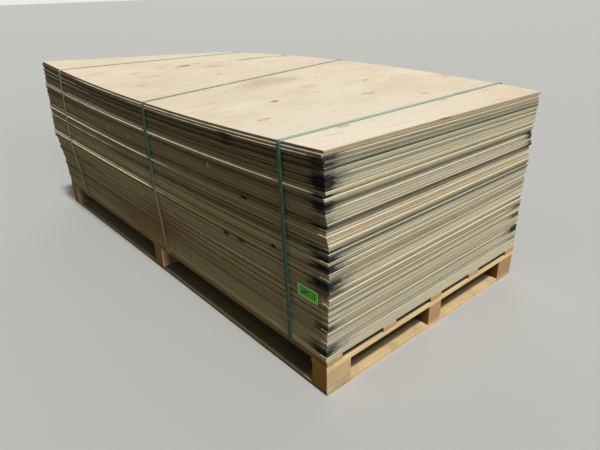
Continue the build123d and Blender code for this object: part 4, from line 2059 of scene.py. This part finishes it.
@dataclass
class Sticker:
    """A thin sticker over the edges of a few sheets, slightly sunk between them."""

    shape: LoadShape
    from_front: float = 0.042
    length: float = 0.096
    stand_off: float = 0.00045
    sag: float = 0.00012
    shrink: float = 0.0003
    paper: float = 0.00012
    columns: int = 32
    rows: int = 24

    def edge_line(self, low: float, high: float) -> tuple[Place, Place]:
        """The line that the outermost sheets behind the sticker make, seen from above.

        Args:
            low: The sticker's lower edge.
            high: Its upper edge.

        Returns:
            Its rear and front ends, each along and across the load.
        """
        shape = self.shape
        front = shape.length / 2 - self.from_front
        rear = front - self.length
        backed = [
            index
            for index in range(shape.count)
            if shape.underside(index, front, -shape.width / 2) < high
            and shape.underside(index + 1, front, -shape.width / 2) > low
        ]
        return tuple((x, min(shape.edge_place(index, NEAR, x) for index in backed)) for x in (rear, front))

    def build(self) -> bpy.types.Object:
        """Make the sticker and let it stand for its CAD node.

        Returns:
            The piece.
        """
        low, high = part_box("label")
        length = high.x - low.x - 2 * self.shrink
        height = high.z - low.z - 2 * self.shrink
        (rear_x, rear_y), (front_x, front_y) = self.edge_line(low.z, high.z)
        points, panel = [], []
        for column, row in product(range(self.columns + 1), range(self.rows + 1)):
            across, up = column / self.columns, row / self.rows
            x = low.x + self.shrink + length * across
            z = low.z + self.shrink + height * up
            wave = self.sag / 2 * math.sin(math.tau * z / self.shape.pitch)
            y = rear_y + (front_y - rear_y) * (x - rear_x) / (front_x - rear_x) - self.stand_off + wave
            points.append((x, y, z))
            panel.append((across, up, 0.0))
        stride = self.rows + 1
        corners = [column * stride + row for column, row in product(range(self.columns), range(self.rows))]
        faces = [(first, first + stride, first + stride + 1, first + 1) for first in corners]
        piece = new_object("sticker", points, [], faces, panel=panel)
        piece.data.materials.append(material_of(StickerFinish()))
        thick = piece.modifiers.new("paper", "SOLIDIFY")
        thick.thickness = self.paper
        thick.offset = 0.0
        piece.data = plain_mesh(piece)
        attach(piece, BODY)
        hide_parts("label")
        return piece


# -------- studio


@dataclass
class Studio:
    """The plain pale floor, the lamps and the camera at the photograph's angle."""

    focal_pixels: float = 510.2
    image_width: float = 600.0
    sensor: float = 36.0
    azimuth: float = 49.49
    pitch: float = 25.23
    roll: float = -1.29
    eye: Triple = (2.184, -1.538, 1.284)
    view_reach: float = 200.0
    floor_reach: float = 60.0
    sky_hue: Colour = (1.0, 0.98, 0.92, 1.0)
    sky_level: float = 0.10
    sky_seen: float = 0.85
    # Each lamp's name, direction from the object, brightness on a white surface that faces it, and size in degrees
    lamps: tuple[tuple[str, Triple, float, float], ...] = (
        ("key", (0.36, -0.06, 0.93), 0.72, 6.0),
        ("front_fill", (0.98, 0.0, 0.20), 0.40, 40.0),
        ("rear_fill", (-0.62, 0.55, 0.56), 0.10, 40.0),
    )

    def floor(self) -> None:
        """Lay the floor just under the pallet."""
        reach = self.floor_reach
        corners = [(-reach, -reach, 0.0), (reach, -reach, 0.0), (reach, reach, 0.0), (-reach, reach, 0.0)]
        floor = new_object("floor", corners, [], [(0, 1, 2, 3)])
        floor.data.materials.append(material_of(FloorFinish()))

    def light(self) -> None:
        """Hang the lamps."""
        for name, direction, level, softness in self.lamps:
            data = bpy.data.lights.new(name, "SUN")
            data.energy = level * math.pi
            data.angle = math.radians(softness)
            lamp = placed(bpy.data.objects.new(name, data))
            lamp.rotation_euler = Vector(direction).to_track_quat("Z", "Y").to_euler()

    def sky(self) -> None:
        """An even low light from all round, and a pale background for the camera."""
        world = bpy.data.worlds.new("studio")
        world.use_nodes = True
        graph = Graph(world.node_tree)
        background = next(node for node in world.node_tree.nodes if node.type == "BACKGROUND")
        seen = graph.most(*(graph.out("ShaderNodeLightPath", output=f"Is {ray} Ray") for ray in ("Camera", "Glossy")))
        graph.feed(background, {"Color": self.sky_hue, "Strength": seen.span(0.0, 1.0, self.sky_level, self.sky_seen)})
        bpy.context.scene.world = world

    def camera(self) -> None:
        """Stand the camera where the photograph was taken from."""
        turn, tilt, lean = (math.radians(angle) for angle in (self.azimuth, self.pitch, self.roll))
        back = Vector((math.sin(turn) * math.cos(tilt), -math.cos(turn) * math.cos(tilt), math.sin(tilt)))
        level = Vector((math.cos(turn), math.sin(turn), 0.0))
        upright = level.cross(-back)
        right = level * math.cos(lean) + upright * math.sin(lean)
        up = upright * math.cos(lean) - level * math.sin(lean)
        data = bpy.data.cameras.new("camera")
        data.sensor_fit = "HORIZONTAL"
        data.sensor_width = self.sensor
        data.lens = self.focal_pixels / self.image_width * self.sensor
        data.clip_end = self.view_reach
        camera = placed(bpy.data.objects.new("camera", data))
        camera.matrix_world = Matrix.Translation(self.eye) @ Matrix((right, up, back)).transposed().to_4x4()
        bpy.context.scene.camera = camera

    def build(self) -> None:
        """Set up everything that isn't the object."""
        self.floor()
        self.sky()
        self.light()
        self.camera()
        bpy.context.scene.view_settings.view_transform = "Standard"


def main() -> None:
    """Build each part of the scene in order and report it."""
    logging.basicConfig(level=logging.INFO, format="%(name)s: %(message)s")
    shape = LoadShape()
    stack = SheetStack(shape).build()
    pallet = Pallet().build()
    straps = Straps(shape).build()
    sticker = Sticker(shape).build()
    for piece in [*stack, *pallet, *straps, sticker]:
        piece.data.calc_loop_triangles()
        log.info("%s: %d triangles", piece.name, len(piece.data.loop_triangles))
    Studio().build()


if __name__ == "__main__":
    main()
